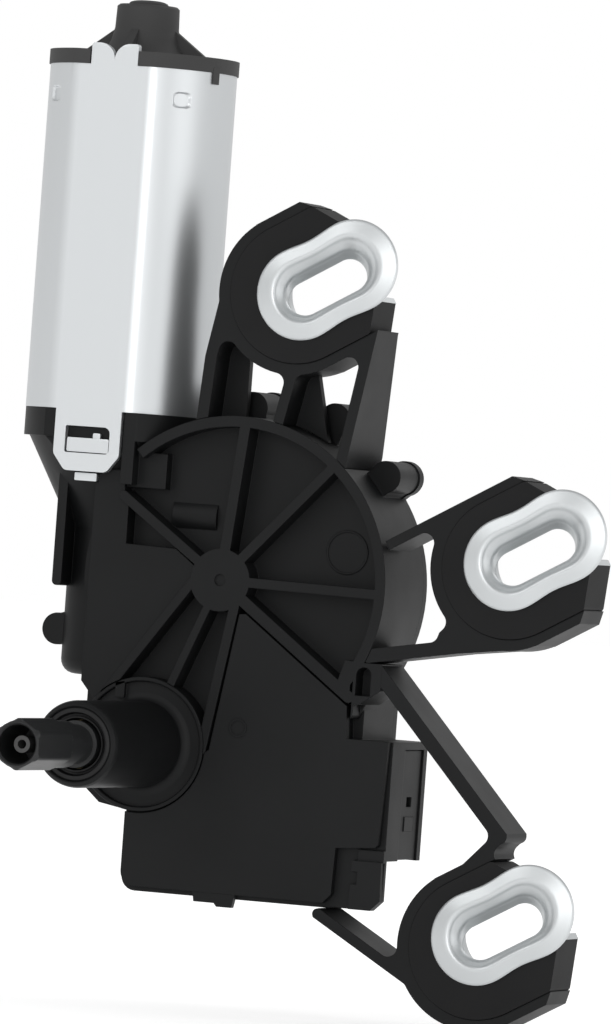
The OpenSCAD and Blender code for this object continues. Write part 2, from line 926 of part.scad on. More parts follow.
module upper_grommet() { grommet(upper_eye); }
module middle_grommet() { grommet(middle_eye); }
module lower_grommet() { grommet(lower_eye); }
module upper_bush() { slotted_bush(upper_eye); }
module middle_bush() { slotted_bush(middle_eye); }
module lower_bush() { slotted_bush(lower_eye); }

// Lid over the gear chamber, with its screw ears and shaft bosses
module rear_cover() {
  ear_r = lug_r + 0.3;
  color("#1f2021")
    difference() {
      union() {
        slab(case_depth, cover_back)
          lid_outline();
        rod(0, 0, spindle_r + 2.6, case_depth - 4, cover_back);
        rod(wheel_x, wheel_z, wheel_pin_r + 2.4, case_depth - 4, cover_back);
        for (p = screw_spots)
          slab(case_depth, cover_back) {
            translate(p)
              circle(ear_r);
            strip(p, p + 0.16 * ([rim_x, rim_z] - p), 2 * ear_r - 0.6);
          }
        rod(0, 0, spigot_r + 1.2, case_depth, pipe_boss_y1);
      }
      rod(0, 0, spindle_r + run_gap, case_depth - 5, case_depth - 1);
      rod(0, 0, pipe_r, case_depth - 5, cover_back + 5);
      rod(wheel_x, wheel_z, wheel_pin_r, case_depth - 5, case_depth);
      for (p = screw_spots)
        rod(p[0], p[1], screw_r + seat_gap, case_depth - 5, cover_back + 1, 24);
    }
}

// Round pillars that the rear cover's screws turn into, with the screws
module rear_cover_screws() {
  color("#303132")
    for (p = screw_spots) {
      rod(p[0], p[1], screw_r, case_depth - screw_len, cover_back);
      rod(p[0], p[1], 2 * screw_r, cover_back, cover_back + 1.6);
    }
}

// Front cover plate over the electronics
module electronics_cover() {
  color("#232424") {
    slab(0.2, cover_t)
      cover_outline();
    slab(-0.1, 0.25)
      translate([21, 4.9])
        difference() {
          circle(1.9);
          circle(1.5);
        }
    slab(0.4, cover_t)
      polygon([
        [13.6, box_z0 + 1.2], [14, box_z0 - 1], [18.4, box_z0 - 1], [19, box_z0 - 1.7],
        [22.2, box_z0 - 1.7], [22.8, box_z0 + 1.2]
      ]);
  }
}

// Board with the motor's reversing electronics
module circuit_board() {
  color("#1f5a3a")
    slab(board_y0, board_y0 + board_t)
      difference() {
        translate([board_x0, box_z0 + wall + 0.5])
          square([step_x - wall - 2 - board_x0, board_z1 - box_z0 - wall - 0.5]);
        for (x = [board_x0 + 3, step_x - wall - 5])
          translate([x, -25])
            circle(1.2, $fn = 24);
      }
}

// Components soldered on the board
module board_parts() {
  back = board_y0 + board_t;
  color("#3a3b3d") {
    for (i = [0 : 2])
      rod(board_x0 + 5 + 6.4 * i, -20, 2.6, back, back + 7);
    span([board_x0 + 3, back, -12], [board_x0 + 13, back + 1.8, -4]);
    span([board_x0 + 15.2, back, -10], [board_x0 + 20.2, back + 3.2, -2]);
  }
}

socket_x0 = bay_x0 + seat_gap;
socket_x1 = box_right - 0.4;
socket_y0 = 10 + seat_gap;
socket_y1 = case_depth - wall - seat_gap;
socket_t = 1.2;

// Connector shroud, open downwards, in the case's side
module connector_socket() {
  x0 = socket_x0;
  x1 = socket_x1;
  y0 = socket_y0;
  y1 = socket_y1;
  t = socket_t;
  color("#202122")
    difference() {
      union() {
        span([x0, y0, step_z + 0.2], [x1, y1, cover_z1 - 1.6]);
        span([x1 - 1, y0 + 3, step_z + 6], [x1 + 0.2, y1 - 3, step_z + 9]);
      }
      span([x0 + t, y0 + t, step_z - 1], [x1 - t, y1 - t, cover_z1 - 7]);
      span([x1 - t - 1, y0 + 4, step_z + 11], [x1 + 1, y0 + 7, step_z + 13]);
    }
}

// Blade terminals in the connector
module connector_pins() {
  pitch = (socket_y1 - socket_y0 - 2 * socket_t) / 4;
  pin_w = 0.6 * pitch;
  color("#b9a26a")
    for (i = [0 : 3])
      translate([(socket_x0 + socket_x1) / 2 - 0.4, socket_y0 + socket_t + (i + 0.5) * pitch - pin_w / 2, cover_z1 - 14])
        cube([0.8, pin_w, 7]);
}

// Deep drawn steel can with flats, tongues and a tongue window
module motor_can() {
  dimple_h = 2.4;
  color("#c9cdcf")
    difference() {
      union() {
        translate([motor_x, motor_y, can_z0])
          difference() {
            can_section(can_r, can_half, can_len);
            translate([0, 0, -1])
              can_section(can_r - can_t, can_half - can_t, can_len + 2);
          }
        for (side = [-1, 1])
          tongue(side);
        crimp_tabs();
      }
      for (side = [-1, 1])
        translate([motor_x - 4.9, motor_y + side * can_half - 5, can_z0 - 8.8])
          cube([9.8, 10, 5]);
      for (turn = [-44, 44])
        translate([motor_x, motor_y, can_z1 - 8.6])
          rotate([0, 0, turn - 90])
            translate([can_r - 0.35, -1.5, 0])
              cube([2, 3, dimple_h]);
      translate([motor_x + can_r * 0.62 - seat_gap, motor_y - can_half, can_z1 - 2.3])
        cube([1.7 + 2 * seat_gap, 3.6, 3]);
    }
}

// One tongue of the can, with clipped corners
module tongue(side) {
  corner = 2.4;
  y0 = motor_y + side * can_half - (side > 0 ? can_t : 0);
  slab(y0, y0 + can_t)
    translate([motor_x, tongue_z0])
      polygon([
        [-tongue_w / 2, tongue_len + 1], [-tongue_w / 2, corner * 1.4], [-tongue_w / 2 + corner, 0],
        [tongue_w / 2 - corner, 0], [tongue_w / 2, corner * 1.4], [tongue_w / 2, tongue_len + 1]
      ]);
}

// Two tabs at the top of each flat, whose round shoulders meet in a notch
module crimp_tabs() {
  for (side = [-1, 1])
    slab(motor_y + side * can_half - (side > 0 ? can_t : 0), motor_y + side * can_half + (side > 0 ? 0 : can_t))
      translate([motor_x, can_z1])
        for (hand = [0, 1])
          mirror([hand, 0])
            polygon(concat(
              [[0, -0.2], [tab_half, -0.2], [tab_half, tab_h], [shoulder_r, tab_h]],
              [for (a = [90 : 15 : 180]) [shoulder_r, tab_h - shoulder_r] + shoulder_r * [cos(a), sin(a)]]
            ));
}

// Spring steel clip under the front tongue
module can_clip() {
  y0 = motor_y - can_half + can_t;
  color("#d2d5d7")
    span([motor_x - 3, y0, tongue_z0 - 1.9], [motor_x + 1.8, y0 + 2, tongue_z0 - 0.3]);
}

// Black moulded end cap with a bearing boss and gussets
module end_cap() {
  cap_r = can_r + 0.3;
  z0 = can_z1 + 0.02;
  color("#2b2c2d")
    difference() {
      union() {
        translate([motor_x, motor_y, z0])
          can_section(cap_r, can_half + 0.2, cap_t);
        translate([motor_x, motor_y, z0 + cap_t - eps])
          cylinder(h = 3.6, r1 = boss_r + 3, r2 = boss_r);
        translate([motor_x, motor_y, z0])
          cylinder(h = cap_t + boss_h, r = boss_r);
        translate([motor_x, motor_y, z0 + cap_t + boss_h - eps])
          cylinder(h = 1.3, r1 = 3.6, r2 = 3);
        for (side = [-1, 1])
          slab(motor_y - 1, motor_y + 1)
            translate([motor_x, z0 + cap_t - 0.2])
              polygon([[0, 0], [side * 16.4, 0], [side * 5.6, 7], [0, 7]]);
        translate([motor_x + can_r * 0.62, motor_y - can_half + 1.9, z0 - 2.2])
          cube([1.7, 1.4, 2.4]);
      }
      translate([motor_x, motor_y, z0 - 1])
        cylinder(h = cap_t + boss_h - 1.5, r = bearing_r);
      for (side = [-1, 1])
        translate([motor_x - tab_half - seat_gap, motor_y + side * can_half - (side > 0 ? can_t + seat_gap : 1), z0 - 1])
          cube([2 * (tab_half + seat_gap), can_t + 1 + seat_gap, tab_h + 2]);
      translate([motor_x + can_r * 0.62 - 0.2, motor_y - can_half - 1, z0 - 3])
        cube([2.2, 2.9, 3]);
    }
}

// Sintered bearing in the end cap
module end_cap_bearing() {
  color("#8d7a58")
    translate([motor_x, motor_y, can_z1 + cap_t + 2])
      bearing();
}

// Plain bearing sleeve along Z for the motor shaft
module bearing() {
  difference() {
    cylinder(h = bearing_len, r = bearing_r);
    translate([0, 0, -1])
      cylinder(h = bearing_len + 2, r = shaft_r + run_gap);
  }
}

// Two arc magnets glued to the can
module field_magnets() {
  margin = 0.2;
  color("#4a4c4e")
    for (side = [0, 180])
      translate([motor_x, motor_y, stack_z0 - 2])
        rotate([0, 0, side])
          intersection() {
            difference() {
              can_section(can_r - can_t - margin, can_half - can_t - margin, armature_len + 4);
              translate([0, 0, -1])
                cylinder(h = armature_len + 6, r = magnet_in);
            }
            linear_extrude(armature_len + 4)
              slice(can_r, -62, 62);
          }
}

// Plate that carries the brushes, across the can's lower end
module brush_plate() {
  color("#5c4a33")
    translate([motor_x, motor_y, commutator_z0 - 1])
      difference() {
        union() {
          can_section(can_r - can_t - 0.2, can_half - can_t - 0.2, 2);
          for (side = [-1, 1])
            translate([side > 0 ? commutator_r + 2 : -commutator_r - 8, -3.6, 0])
              cube([6, 7.2, 7]);
        }
        translate([0, 0, -1])
          cylinder(h = 12, r = commutator_r + 1);
        for (side = [-1, 1])
          translate([side > 0 ? 0 : -commutator_r - 9, -2.2, 2.4])
            cube([commutator_r + 9, 4.4, 3.6]);
      }
}

// Two carbon brushes that press on the commutator
module carbon_brushes() {
  color("#2f2f31")
    for (side = [-1, 1])
      translate([motor_x, motor_y, commutator_z0 - 1])
        translate([side > 0 ? commutator_r + face_gap : -commutator_r - face_gap - 7, -2.1, 2.5])
          cube([7, 4.2, 3.4]);
}

// Sintered bearing at the shaft's lower end
module lower_bearing() {
  color("#8d7a58")
    translate([motor_x, motor_y, tunnel_z0 + 1])
      bearing();
}

// Motor shaft above and below its worm
module armature_shaft() {
  color("#b4b8bb")
    translate([motor_x, motor_y, 0]) {
      translate([0, 0, worm_z1])
        cylinder(h = shaft_top - worm_z1, r = shaft_r);
      translate([0, 0, shaft_bottom])
        cylinder(h = worm_z0 - shaft_bottom, r = shaft_r);
    }
}

// Slotted iron stack of the armature
module armature_stack() {
  slots = 8;
  color("#6a6e72")
    translate([motor_x, motor_y, stack_z0])
      linear_extrude(armature_len)
        difference() {
          circle(armature_r);
          circle(shaft_r);
          for (k = [0 : slots - 1])
            rotate(k * 360 / slots)
              translate([armature_r - 4, -0.9])
                square([5, 1.8]);
        }
}

// Copper coil heads at both ends of the stack
module armature_windings() {
  color("#b3662f")
    for (z = [stack_z0 - winding_h, stack_z1])
      translate([motor_x, motor_y, z])
        difference() {
          cylinder(h = winding_h, r = armature_r - 1.6);
          translate([0, 0, -1])
            cylinder(h = winding_h + 2, r = shaft_r);
        }
}

// Copper commutator
module commutator() {
  color("#b87333")
    translate([motor_x, motor_y, commutator_z0])
      difference() {
        cylinder(h = commutator_len, r = commutator_r);
        translate([0, 0, -1])
          cylinder(h = commutator_len + 2, r = shaft_r);
        for (k = [0 : 7])
          rotate([0, 0, k * 45])
            translate([commutator_r - 0.6, -0.2, -1])
              cube([1, 0.4, commutator_len + 2]);
      }
}

// Radius of the worm's cross section at an angle from its thread's crest
function worm_radius(a) =
  let (
    away = abs(a) / 360 * worm_lead,
    crest = (worm_lead / 2 - tooth_play) / 2 - (worm_tip_r - worm_pitch_r) * tan(20),
    slope = (worm_tip_r - worm_root_r) / ((worm_tip_r - worm_root_r) * tan(20))
  )
    max(worm_root_r, min(worm_tip_r, worm_tip_r - (away - crest) * slope));

// Single start worm, its thread rising anticlockwise as it climbs
module worm() {
  points = 30;
  color("#a9adb0")
    translate([motor_x, motor_y, worm_z0])
      rotate([0, 0, -worm_turns / 2 * 360])
        linear_extrude(worm_len, twist = -360 * worm_turns, slices = 16 * worm_turns, $fn = points)
          polygon([
            for (i = [0 : points - 1])
              let (a = i * 360 / points, from_crest = a > 180 ? a - 360 : a)
                worm_radius(from_crest) * [cos(a), sin(a)]
          ]);
}

// Plastic worm wheel with a long hub
module worm_wheel() {
  rim_inner = wheel_pitch_r - 4;
  color("#d8cfae")
    translate([wheel_x, 0, wheel_z])
      difference() {
        union() {
          slab(wheel_y0, wheel_y1)
            difference() {
              wheel_outline();
              circle(rim_inner);
            }
          slab(motor_y - 1.2, motor_y + 1.2)
            difference() {
              circle(rim_inner + eps);
              for (k = [0 : 5])
                rotate(k * 60 + 30)
                  translate([14.6, 0])
                    circle(3);
            }
          rod(0, 0, wheel_hub_r, spur_y0, case_depth - 4 - face_gap);
        }
        rod(0, 0, wheel_pin_r + run_gap, 0, 40);
      }
}

// Steel pinion on the wheel's hub
module drive_pinion() {
  color("#9da1a5")
    slab(spur_y0, spur_y1)
      translate([wheel_x, wheel_z])
        difference() {
          rotate(axle_angle + 180)
            gear_outline(pinion_teeth, spur_mod, tooth_play);
          circle(wheel_hub_r);
        }
}

// Fixed axle of the worm wheel
module wheel_pin() {
  color("#b4b8bb")
    rod(wheel_x, wheel_z, wheel_pin_r, 1.4, case_depth - 0.2);
}

// Idler between the pinion and the spindle gear
module idler_gear() {
  color("#d8cfae")
    slab(spur_y0, spur_y1)
      translate([idler_x, idler_z])
        rotate(axle_angle + 180 / idler_teeth)
          difference() {
            gear_outline(idler_teeth, spur_mod, tooth_play);
            circle(idler_pin_r + run_gap);
          }
}

// Fixed axle of the idler
module idler_pin() {
  color("#b4b8bb")
    rod(idler_x, idler_z, idler_pin_r, floor_back - 1.5, spur_y1 + 0.2);
}

// Steel gear on the spindle
module spindle_gear() {
  color("#9da1a5")
    slab(spur_y0, spur_y1)
      difference() {
        rotate(axle_angle)
          gear_outline(pinion_teeth, spur_mod, tooth_play);
        circle(spindle_r);
      }
}

// Hollow output spindle with a hexagonal nose
module output_spindle() {
  color("#2e2f30")
    difference() {
      union() {
        rod(0, 0, spindle_r, hex_y1, spindle_back);
        slab(nose_y, hex_y1 + 2)
          rotate(90)
            circle(hex_r, $fn = 6);
      }
      rod(0, 0, passage_r, nose_y - 1, spindle_back + 1);
      rod(0, 0, nose_bore_r, nose_y - 1, nose_y + nose_bore_len);
      groove();
    }
}

// Groove in the spindle for its retaining ring
module groove() {
  pipe(0, 0, spindle_r + 1, spindle_r - 0.6, spur_y1 + 0.1, spur_y1 + 1.1);
}

// Retaining ring behind the spindle gear
module gear_retaining_ring() {
  color("#8f9396")
    pipe(0, 0, spindle_r + 1.8, spindle_r - 0.55, spur_y1 + 0.15, spur_y1 + 1.05);
}

module neck_bush_front() {
  color("#8d7a58")
    pipe(0, 0, neck_bush_r, spindle_r + run_gap, front_bush_y0, front_bush_y0 + neck_bush_len);
}

module neck_bush_rear() {
  color("#8d7a58")
    pipe(0, 0, neck_bush_r, spindle_r + run_gap, rear_bush_y1 - neck_bush_len, rear_bush_y1);
}

// Rubber seal with two steps, in the neck's mouth
module spindle_seal() {
  outer = seal_seat_r - 0.02;
  lip = spindle_r + 0.12;
  color("#191919")
    rotate([90, 0, 0])
      rotate_extrude()
        polygon([
          [lip, neck_out - 3.6], [outer, neck_out - 4], [outer, neck_out - 0.4],
          [outer - 1.2, neck_out - 0.4], [outer - 1.3, neck_out - 1.1], [lip + 0.6, neck_out - 1.1],
          [lip, neck_out - 2.6]
        ]);
}

// Fixed pipe that carries washer water through the spindle
module washer_pipe() {
  front = nose_y + 3;
  back = pipe_boss_y1 + spigot_len;
  color("#222324")
    difference() {
      union() {
        rod(0, 0, pipe_r, front, pipe_boss_y1);
        rod(0, 0, spigot_r, pipe_boss_y1, back);
      }
      rod(0, 0, pipe_hole_r, front - 1, back + 1);
    }
}

gear_housing();
spindle_neck();
upper_fork();
middle_fork();
lower_fork();
rear_cover();
rear_cover_screws();
electronics_cover();
circuit_board();
board_parts();
connector_socket();
connector_pins();
motor_can();
can_clip();
end_cap();
end_cap_bearing();
field_magnets();
brush_plate();
carbon_brushes();
lower_bearing();
armature_shaft();
armature_stack();
armature_windings();
commutator();
worm();
worm_wheel();
drive_pinion();
wheel_pin();
idler_gear();
idler_pin();
spindle_gear();
output_spindle();
gear_retaining_ring();
neck_bush_front();
neck_bush_rear();
spindle_seal();
washer_pipe();
upper_grommet();
middle_grommet();
lower_grommet();
upper_bush();
middle_bush();
lower_bush();
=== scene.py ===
"""Looks of a rear window wiper motor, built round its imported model.

Every class below is one sub-assembly. It holds its sizes in millimetres, in the model's own frame:
X to the right, Y away from the viewer along the spindle, Z up along the motor.
"""
import logging
import math
from dataclasses import dataclass
from enum import Enum

import bmesh
import bpy
import numpy as np
from mathutils import Matrix, Vector
from mathutils.geometry import tessellate_polygon


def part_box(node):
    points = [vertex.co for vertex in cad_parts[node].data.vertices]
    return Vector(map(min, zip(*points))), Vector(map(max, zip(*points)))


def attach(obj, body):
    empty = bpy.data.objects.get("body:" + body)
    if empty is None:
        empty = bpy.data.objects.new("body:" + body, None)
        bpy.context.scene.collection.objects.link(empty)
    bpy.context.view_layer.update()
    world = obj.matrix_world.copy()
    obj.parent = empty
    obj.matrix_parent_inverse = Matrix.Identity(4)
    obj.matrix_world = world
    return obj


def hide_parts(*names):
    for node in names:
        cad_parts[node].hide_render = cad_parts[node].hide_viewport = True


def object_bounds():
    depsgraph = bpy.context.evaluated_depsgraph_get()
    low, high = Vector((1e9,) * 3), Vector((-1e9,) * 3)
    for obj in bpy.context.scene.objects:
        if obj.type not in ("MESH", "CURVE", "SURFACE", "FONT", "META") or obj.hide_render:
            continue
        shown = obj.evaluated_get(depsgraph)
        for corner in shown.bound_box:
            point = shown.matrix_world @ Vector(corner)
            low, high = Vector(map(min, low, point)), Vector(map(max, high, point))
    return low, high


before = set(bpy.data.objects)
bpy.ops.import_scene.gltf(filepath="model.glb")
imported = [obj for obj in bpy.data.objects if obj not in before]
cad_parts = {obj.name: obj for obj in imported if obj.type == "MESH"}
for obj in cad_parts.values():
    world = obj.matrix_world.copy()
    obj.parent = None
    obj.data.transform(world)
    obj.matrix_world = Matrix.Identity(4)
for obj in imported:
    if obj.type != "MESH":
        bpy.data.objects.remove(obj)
CAD_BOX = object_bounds()

LOG = logging.getLogger("wiper_motor")
MM = 0.001
HOUSING = "housing"
SPINDLE = "spindle"
# Points closer than this, in metres, are joined
WELD = 0.000004
# How many points a rounded corner has, and the radius of one that stays sharp, in millimetres
ARC_STEPS = 7
SHARP = 0.01
# How near its axis a spun section ends
NEAR_AXIS = 0.01
# Guards a division by a length that may be nothing
TINY = 1e-9
# Where the slots of the three bushes stand, in X and Z
UPPER_EYE = (33.5, 97.7)
MIDDLE_EYE = (83.1, 45.2)
LOWER_EYE = (81.9, -31.6)


class Noise(Enum):
    """A surface's unevenness: waves per metre, and how many octaves it has."""

    MOULD_GRAIN = (2600.0, 2.0)
    SPARK_GRAIN = (2300.0, 2.0)
    SOFT_STAIN = (35.0, 4.0)
    SMUDGE = (90.0, 3.0)


@dataclass(frozen=True)
class Finish:
    """A procedural finish: one shader with grain, stains and softly rounded edges.

    Every number that is the same all over the surface is set on the shader's own socket.
    """

    name: str
    colour: tuple[float, float, float]
    roughness: float
    metallic: float = 0.0
    tint_spread: float = 0.18
    roughness_spread: float = 0.06
    grain: Noise = Noise.MOULD_GRAIN
    grain_depth: float = 0.00002
    edge_radius: float = 0.0
    edge_samples: int = 4
    stain_band: tuple[float, float] = (0.3, 0.7)
    specular: float = 0.5

    def material(self) -> bpy.types.Material:
        """Return this finish's material, making it the first time.

        Returns:
            The Blender material.
        """
        found = bpy.data.materials.get(self.name)
        if found is not None:
            return found
        made = bpy.data.materials.new(self.name)
        made.use_nodes = True
        tree = made.node_tree
        shader = tree.nodes["Principled BSDF"]
        shader.inputs["Metallic"].default_value = self.metallic
        shader.inputs["Specular IOR Level"].default_value = self.specular
        place = tree.nodes.new("ShaderNodeTexCoord")
        self._link_colour(tree, shader, place)
        self._link_roughness(tree, shader, place)
        self._link_relief(tree, shader, place)
        return made

    def _link_colour(
        self, tree: bpy.types.NodeTree, shader: bpy.types.Node, place: bpy.types.Node,
    ) -> None:
        """Vary the base colour slowly over the surface, between a darker and a lighter tint.

        Args:
            tree: The material's node tree.
            shader: Its Principled BSDF.
            place: Its Texture Coordinate node.
        """
        stain = self._noise(tree, place, Noise.SOFT_STAIN)
        ramp = tree.nodes.new("ShaderNodeValToRGB")
        tints = (1.0 - self.tint_spread, 1.0 + self.tint_spread)
        for stop, position, tint in zip(ramp.color_ramp.elements, self.stain_band, tints):
            stop.position = position
            stop.color = tuple(min(1.0, level * tint) for level in self.colour) + (1.0,)
        tree.links.new(stain.outputs["Fac"], ramp.inputs["Fac"])
        tree.links.new(ramp.outputs["Color"], shader.inputs["Base Color"])

    def _link_roughness(
        self, tree: bpy.types.NodeTree, shader: bpy.types.Node, place: bpy.types.Node,
    ) -> None:
        """Vary the roughness a little, as handling and mould wear do.

        Args:
            tree: The material's node tree.
            shader: Its Principled BSDF.
            place: Its Texture Coordinate node.
        """
        smudge = self._noise(tree, place, Noise.SMUDGE)
        spread = tree.nodes.new("ShaderNodeMapRange")
        spread.inputs["To Min"].default_value = max(0.02, self.roughness - self.roughness_spread)
        spread.inputs["To Max"].default_value = min(1.0, self.roughness + self.roughness_spread)
        tree.links.new(smudge.outputs["Fac"], spread.inputs["Value"])
        tree.links.new(spread.outputs["Result"], shader.inputs["Roughness"])

    def _link_relief(
        self, tree: bpy.types.NodeTree, shader: bpy.types.Node, place: bpy.types.Node,
    ) -> None:
        """Add the fine grain, over edges that shade as if they were rounded.

        Args:
            tree: The material's node tree.
            shader: Its Principled BSDF.
            place: Its Texture Coordinate node.
        """
        grain = self._noise(tree, place, self.grain)
        bump = tree.nodes.new("ShaderNodeBump")
        bump.inputs["Strength"].default_value = 1.0
        bump.inputs["Distance"].default_value = self.grain_depth
        tree.links.new(grain.outputs["Fac"], bump.inputs["Height"])
        if self.edge_radius > 0:
            edge = tree.nodes.new("ShaderNodeBevel")
            edge.samples = self.edge_samples
            edge.inputs["Radius"].default_value = self.edge_radius * MM
            tree.links.new(edge.outputs["Normal"], bump.inputs["Normal"])
        tree.links.new(bump.outputs["Normal"], shader.inputs["Normal"])

    @staticmethod
    def _noise(tree: bpy.types.NodeTree, place: bpy.types.Node, kind: Noise) -> bpy.types.Node:
        """Add a noise texture in object coordinates.

        Args:
            tree: The material's node tree.
            place: Its Texture Coordinate node.
            kind: Which unevenness it makes.

        Returns:
            The noise node.
        """
        noise = tree.nodes.new("ShaderNodeTexNoise")
        scale, detail = kind.value
        noise.inputs["Scale"].default_value = scale
        noise.inputs["Detail"].default_value = detail
        tree.links.new(place.outputs["Object"], noise.inputs["Vector"])
        return noise


CASE_PLASTIC = Finish(
    "case_plastic", (0.0050, 0.0053, 0.0056), 0.5, edge_radius=0.3, grain_depth=0.00001, specular=0.18,
)
CAP_PLASTIC = Finish("cap_plastic", (0.009, 0.0094, 0.0098), 0.42, grain_depth=0.000005, specular=0.32)
BLOCK_RUBBER = Finish(
    "block_rubber", (0.0042, 0.0042, 0.0045), 0.66, grain=Noise.SPARK_GRAIN, grain_depth=0.000008,
    specular=0.22,
)
SEAL_RUBBER = Finish("seal_rubber", (0.0052, 0.0052, 0.0056), 0.5, specular=0.3)
BRIGHT_CAN = Finish(
    "bright_can", (0.575, 0.593, 0.602), 0.24, metallic=1.0, tint_spread=0.02, roughness_spread=0.03,
    grain_depth=0.000001,
)
PRESSED_STEEL = Finish(
    "pressed_steel", (0.35, 0.36, 0.367), 0.3, metallic=1.0, tint_spread=0.03, roughness_spread=0.06,
    grain=Noise.SPARK_GRAIN, grain_depth=0.0002,
)
COATED_STEEL = Finish("coated_steel", (0.010, 0.0105, 0.011), 0.4, grain_depth=0.000004, specular=0.4)
DARK_SCREW = Finish("dark_screw", (0.04, 0.04, 0.045), 0.4, metallic=0.6, edge_radius=0.15)
GROUND_STEEL = Finish("ground_steel", (0.55, 0.56, 0.57), 0.28, metallic=1.0, edge_radius=0.1)
STACK_STEEL = Finish("stack_steel", (0.25, 0.26, 0.27), 0.5, metallic=0.8)
COPPER = Finish("copper", (0.70, 0.33, 0.16), 0.35, metallic=1.0)
SINTERED = Finish("sintered_bronze", (0.40, 0.31, 0.18), 0.55, metallic=0.9)
TERMINAL_BRASS = Finish("terminal_brass", (0.66, 0.55, 0.28), 0.3, metallic=1.0)
FERRITE = Finish("ferrite", (0.08, 0.08, 0.09), 0.6)
LAMINATE = Finish("laminate", (0.16, 0.10, 0.05), 0.55)
CARBON = Finish("carbon", (0.03, 0.03, 0.03), 0.6)
BOARD_GREEN = Finish("board_green", (0.006, 0.03, 0.014), 0.5)
GEAR_PLASTIC = Finish("gear_plastic", (0.66, 0.60, 0.43), 0.45, edge_radius=0.1)
JET_PLASTIC = Finish("jet_plastic", (0.05, 0.05, 0.05), 0.4)

NODE_FINISHES: dict[str, Finish] = {
    "gear_housing": CASE_PLASTIC, "spindle_neck": CASE_PLASTIC, "rear_cover": CASE_PLASTIC,
    "upper_fork": CASE_PLASTIC, "middle_fork": CASE_PLASTIC, "lower_fork": CASE_PLASTIC,
    "electronics_cover": CASE_PLASTIC, "connector_socket": CASE_PLASTIC, "end_cap": CAP_PLASTIC,
    "rear_cover_screws": DARK_SCREW, "circuit_board": BOARD_GREEN, "board_parts": DARK_SCREW,
    "connector_pins": TERMINAL_BRASS, "motor_can": BRIGHT_CAN, "can_clip": BRIGHT_CAN,
    "end_cap_bearing": SINTERED, "lower_bearing": SINTERED, "neck_bush_front": SINTERED,
    "neck_bush_rear": SINTERED, "field_magnets": FERRITE, "brush_plate": LAMINATE,
    "carbon_brushes": CARBON, "armature_shaft": GROUND_STEEL, "armature_stack": STACK_STEEL,
    "armature_windings": COPPER, "commutator": COPPER, "worm": GROUND_STEEL,
    "worm_wheel": GEAR_PLASTIC, "drive_pinion": GROUND_STEEL, "wheel_pin": GROUND_STEEL,
    "idler_gear": GEAR_PLASTIC, "idler_pin": GROUND_STEEL, "spindle_gear": GROUND_STEEL,
    "output_spindle": COATED_STEEL, "gear_retaining_ring": GROUND_STEEL, "spindle_seal": SEAL_RUBBER,
    "washer_pipe": JET_PLASTIC, "upper_grommet": BLOCK_RUBBER, "middle_grommet": BLOCK_RUBBER,
    "lower_grommet": BLOCK_RUBBER, "upper_bush": PRESSED_STEEL, "middle_bush": PRESSED_STEEL,
    "lower_bush": PRESSED_STEEL,
}


def polar(radius: float, degrees: np.ndarray) -> np.ndarray:
    """Points (radius cos a, radius sin a) for an array of angles in degrees."""
    turn = np.radians(degrees)
    return np.column_stack((radius * np.cos(turn), radius * np.sin(turn)))


def turned(points: np.ndarray, degrees: float) -> np.ndarray:
    """Points turned anticlockwise about the origin."""
    c, s = math.cos(math.radians(degrees)), math.sin(math.radians(degrees))
    return points @ np.array([[c, s], [-s, c]])


def box_corners(x0: float, z0: float, x1: float, z1: float) -> list[tuple[float, float]]:
    """Corners of a rectangle, anticlockwise from its lowest."""
    return [(x0, z0), (x1, z0), (x1, z1), (x0, z1)]


def rounded(
    corners: list[tuple[float, float]], radii: float | tuple[float, ...], steps: int = ARC_STEPS,
) -> np.ndarray:
    """Close a polygon and replace each corner by an arc that touches both of its sides.

    The arc's centre lies on the corner's bisector, at the radius over the sine of half the corner's angle.

    Args:
        corners: The polygon's corners in order.
        radii: One radius for all corners, or one for each.
        steps: How many points an arc has.

    Returns:
        The outline as an array of points.
    """
    corner = np.asarray(corners, float)
    radius = np.broadcast_to(np.asarray(radii, float), len(corner))[:, None]
    before = np.roll(corner, 1, axis=0) - corner
    after = np.roll(corner, -1, axis=0) - corner
    before /= np.linalg.norm(before, axis=1)[:, None]
    after /= np.linalg.norm(after, axis=1)[:, None]
    half = np.arccos(np.clip((before * after).sum(axis=1), -1, 1))[:, None] / 2
    middle = before + after
    middle /= np.maximum(np.linalg.norm(middle, axis=1)[:, None], TINY)
    centre = corner + middle * radius / np.sin(half)
    start = corner + before * radius / np.tan(half) - centre
    stop = corner + after * radius / np.tan(half) - centre
    first = np.arctan2(start[:, 1], start[:, 0])[:, None]
    swing = np.arctan2(stop[:, 1], stop[:, 0])[:, None] - first
    swing = (swing + np.pi) % (2 * np.pi) - np.pi
    angle = first + swing * np.linspace(0, 1, steps)
    arc = np.stack((np.cos(angle), np.sin(angle)), axis=2) * radius[:, :, None]
    return (centre[:, None, :] + arc).reshape(-1, 2)


def smooth(points: list[tuple[float, ...]], steps: int) -> np.ndarray:
    """Run an open Catmull-Rom curve through the given points.

    Each stretch is the cubic through its two points whose slopes there are half the step between the
    neighbours on both sides. Past each end the last step is repeated.

    Args:
        points: The points that the curve passes through, of any number of coordinates.
        steps: How many points each stretch gets.

    Returns:
        The curve's points, both ends included.
    """
    knots = np.asarray(points, float)
    padded = np.vstack((2 * knots[0] - knots[1], knots, 2 * knots[-1] - knots[-2]))
    a, b, c, d = padded[:-3], padded[1:-2], padded[2:-1], padded[3:]
    t = np.linspace(0, 1, steps, endpoint=False)[None, :, None]
    a, b, c, d = (k[:, None, :] for k in (a, b, c, d))
    curve = 0.5 * (2 * b + (c - a) * t + (2 * a - 5 * b + 4 * c - d) * t**2 + (3 * b - a - 3 * c + d) * t**3)
    return np.vstack((curve.reshape(-1, knots.shape[1]), knots[-1:]))


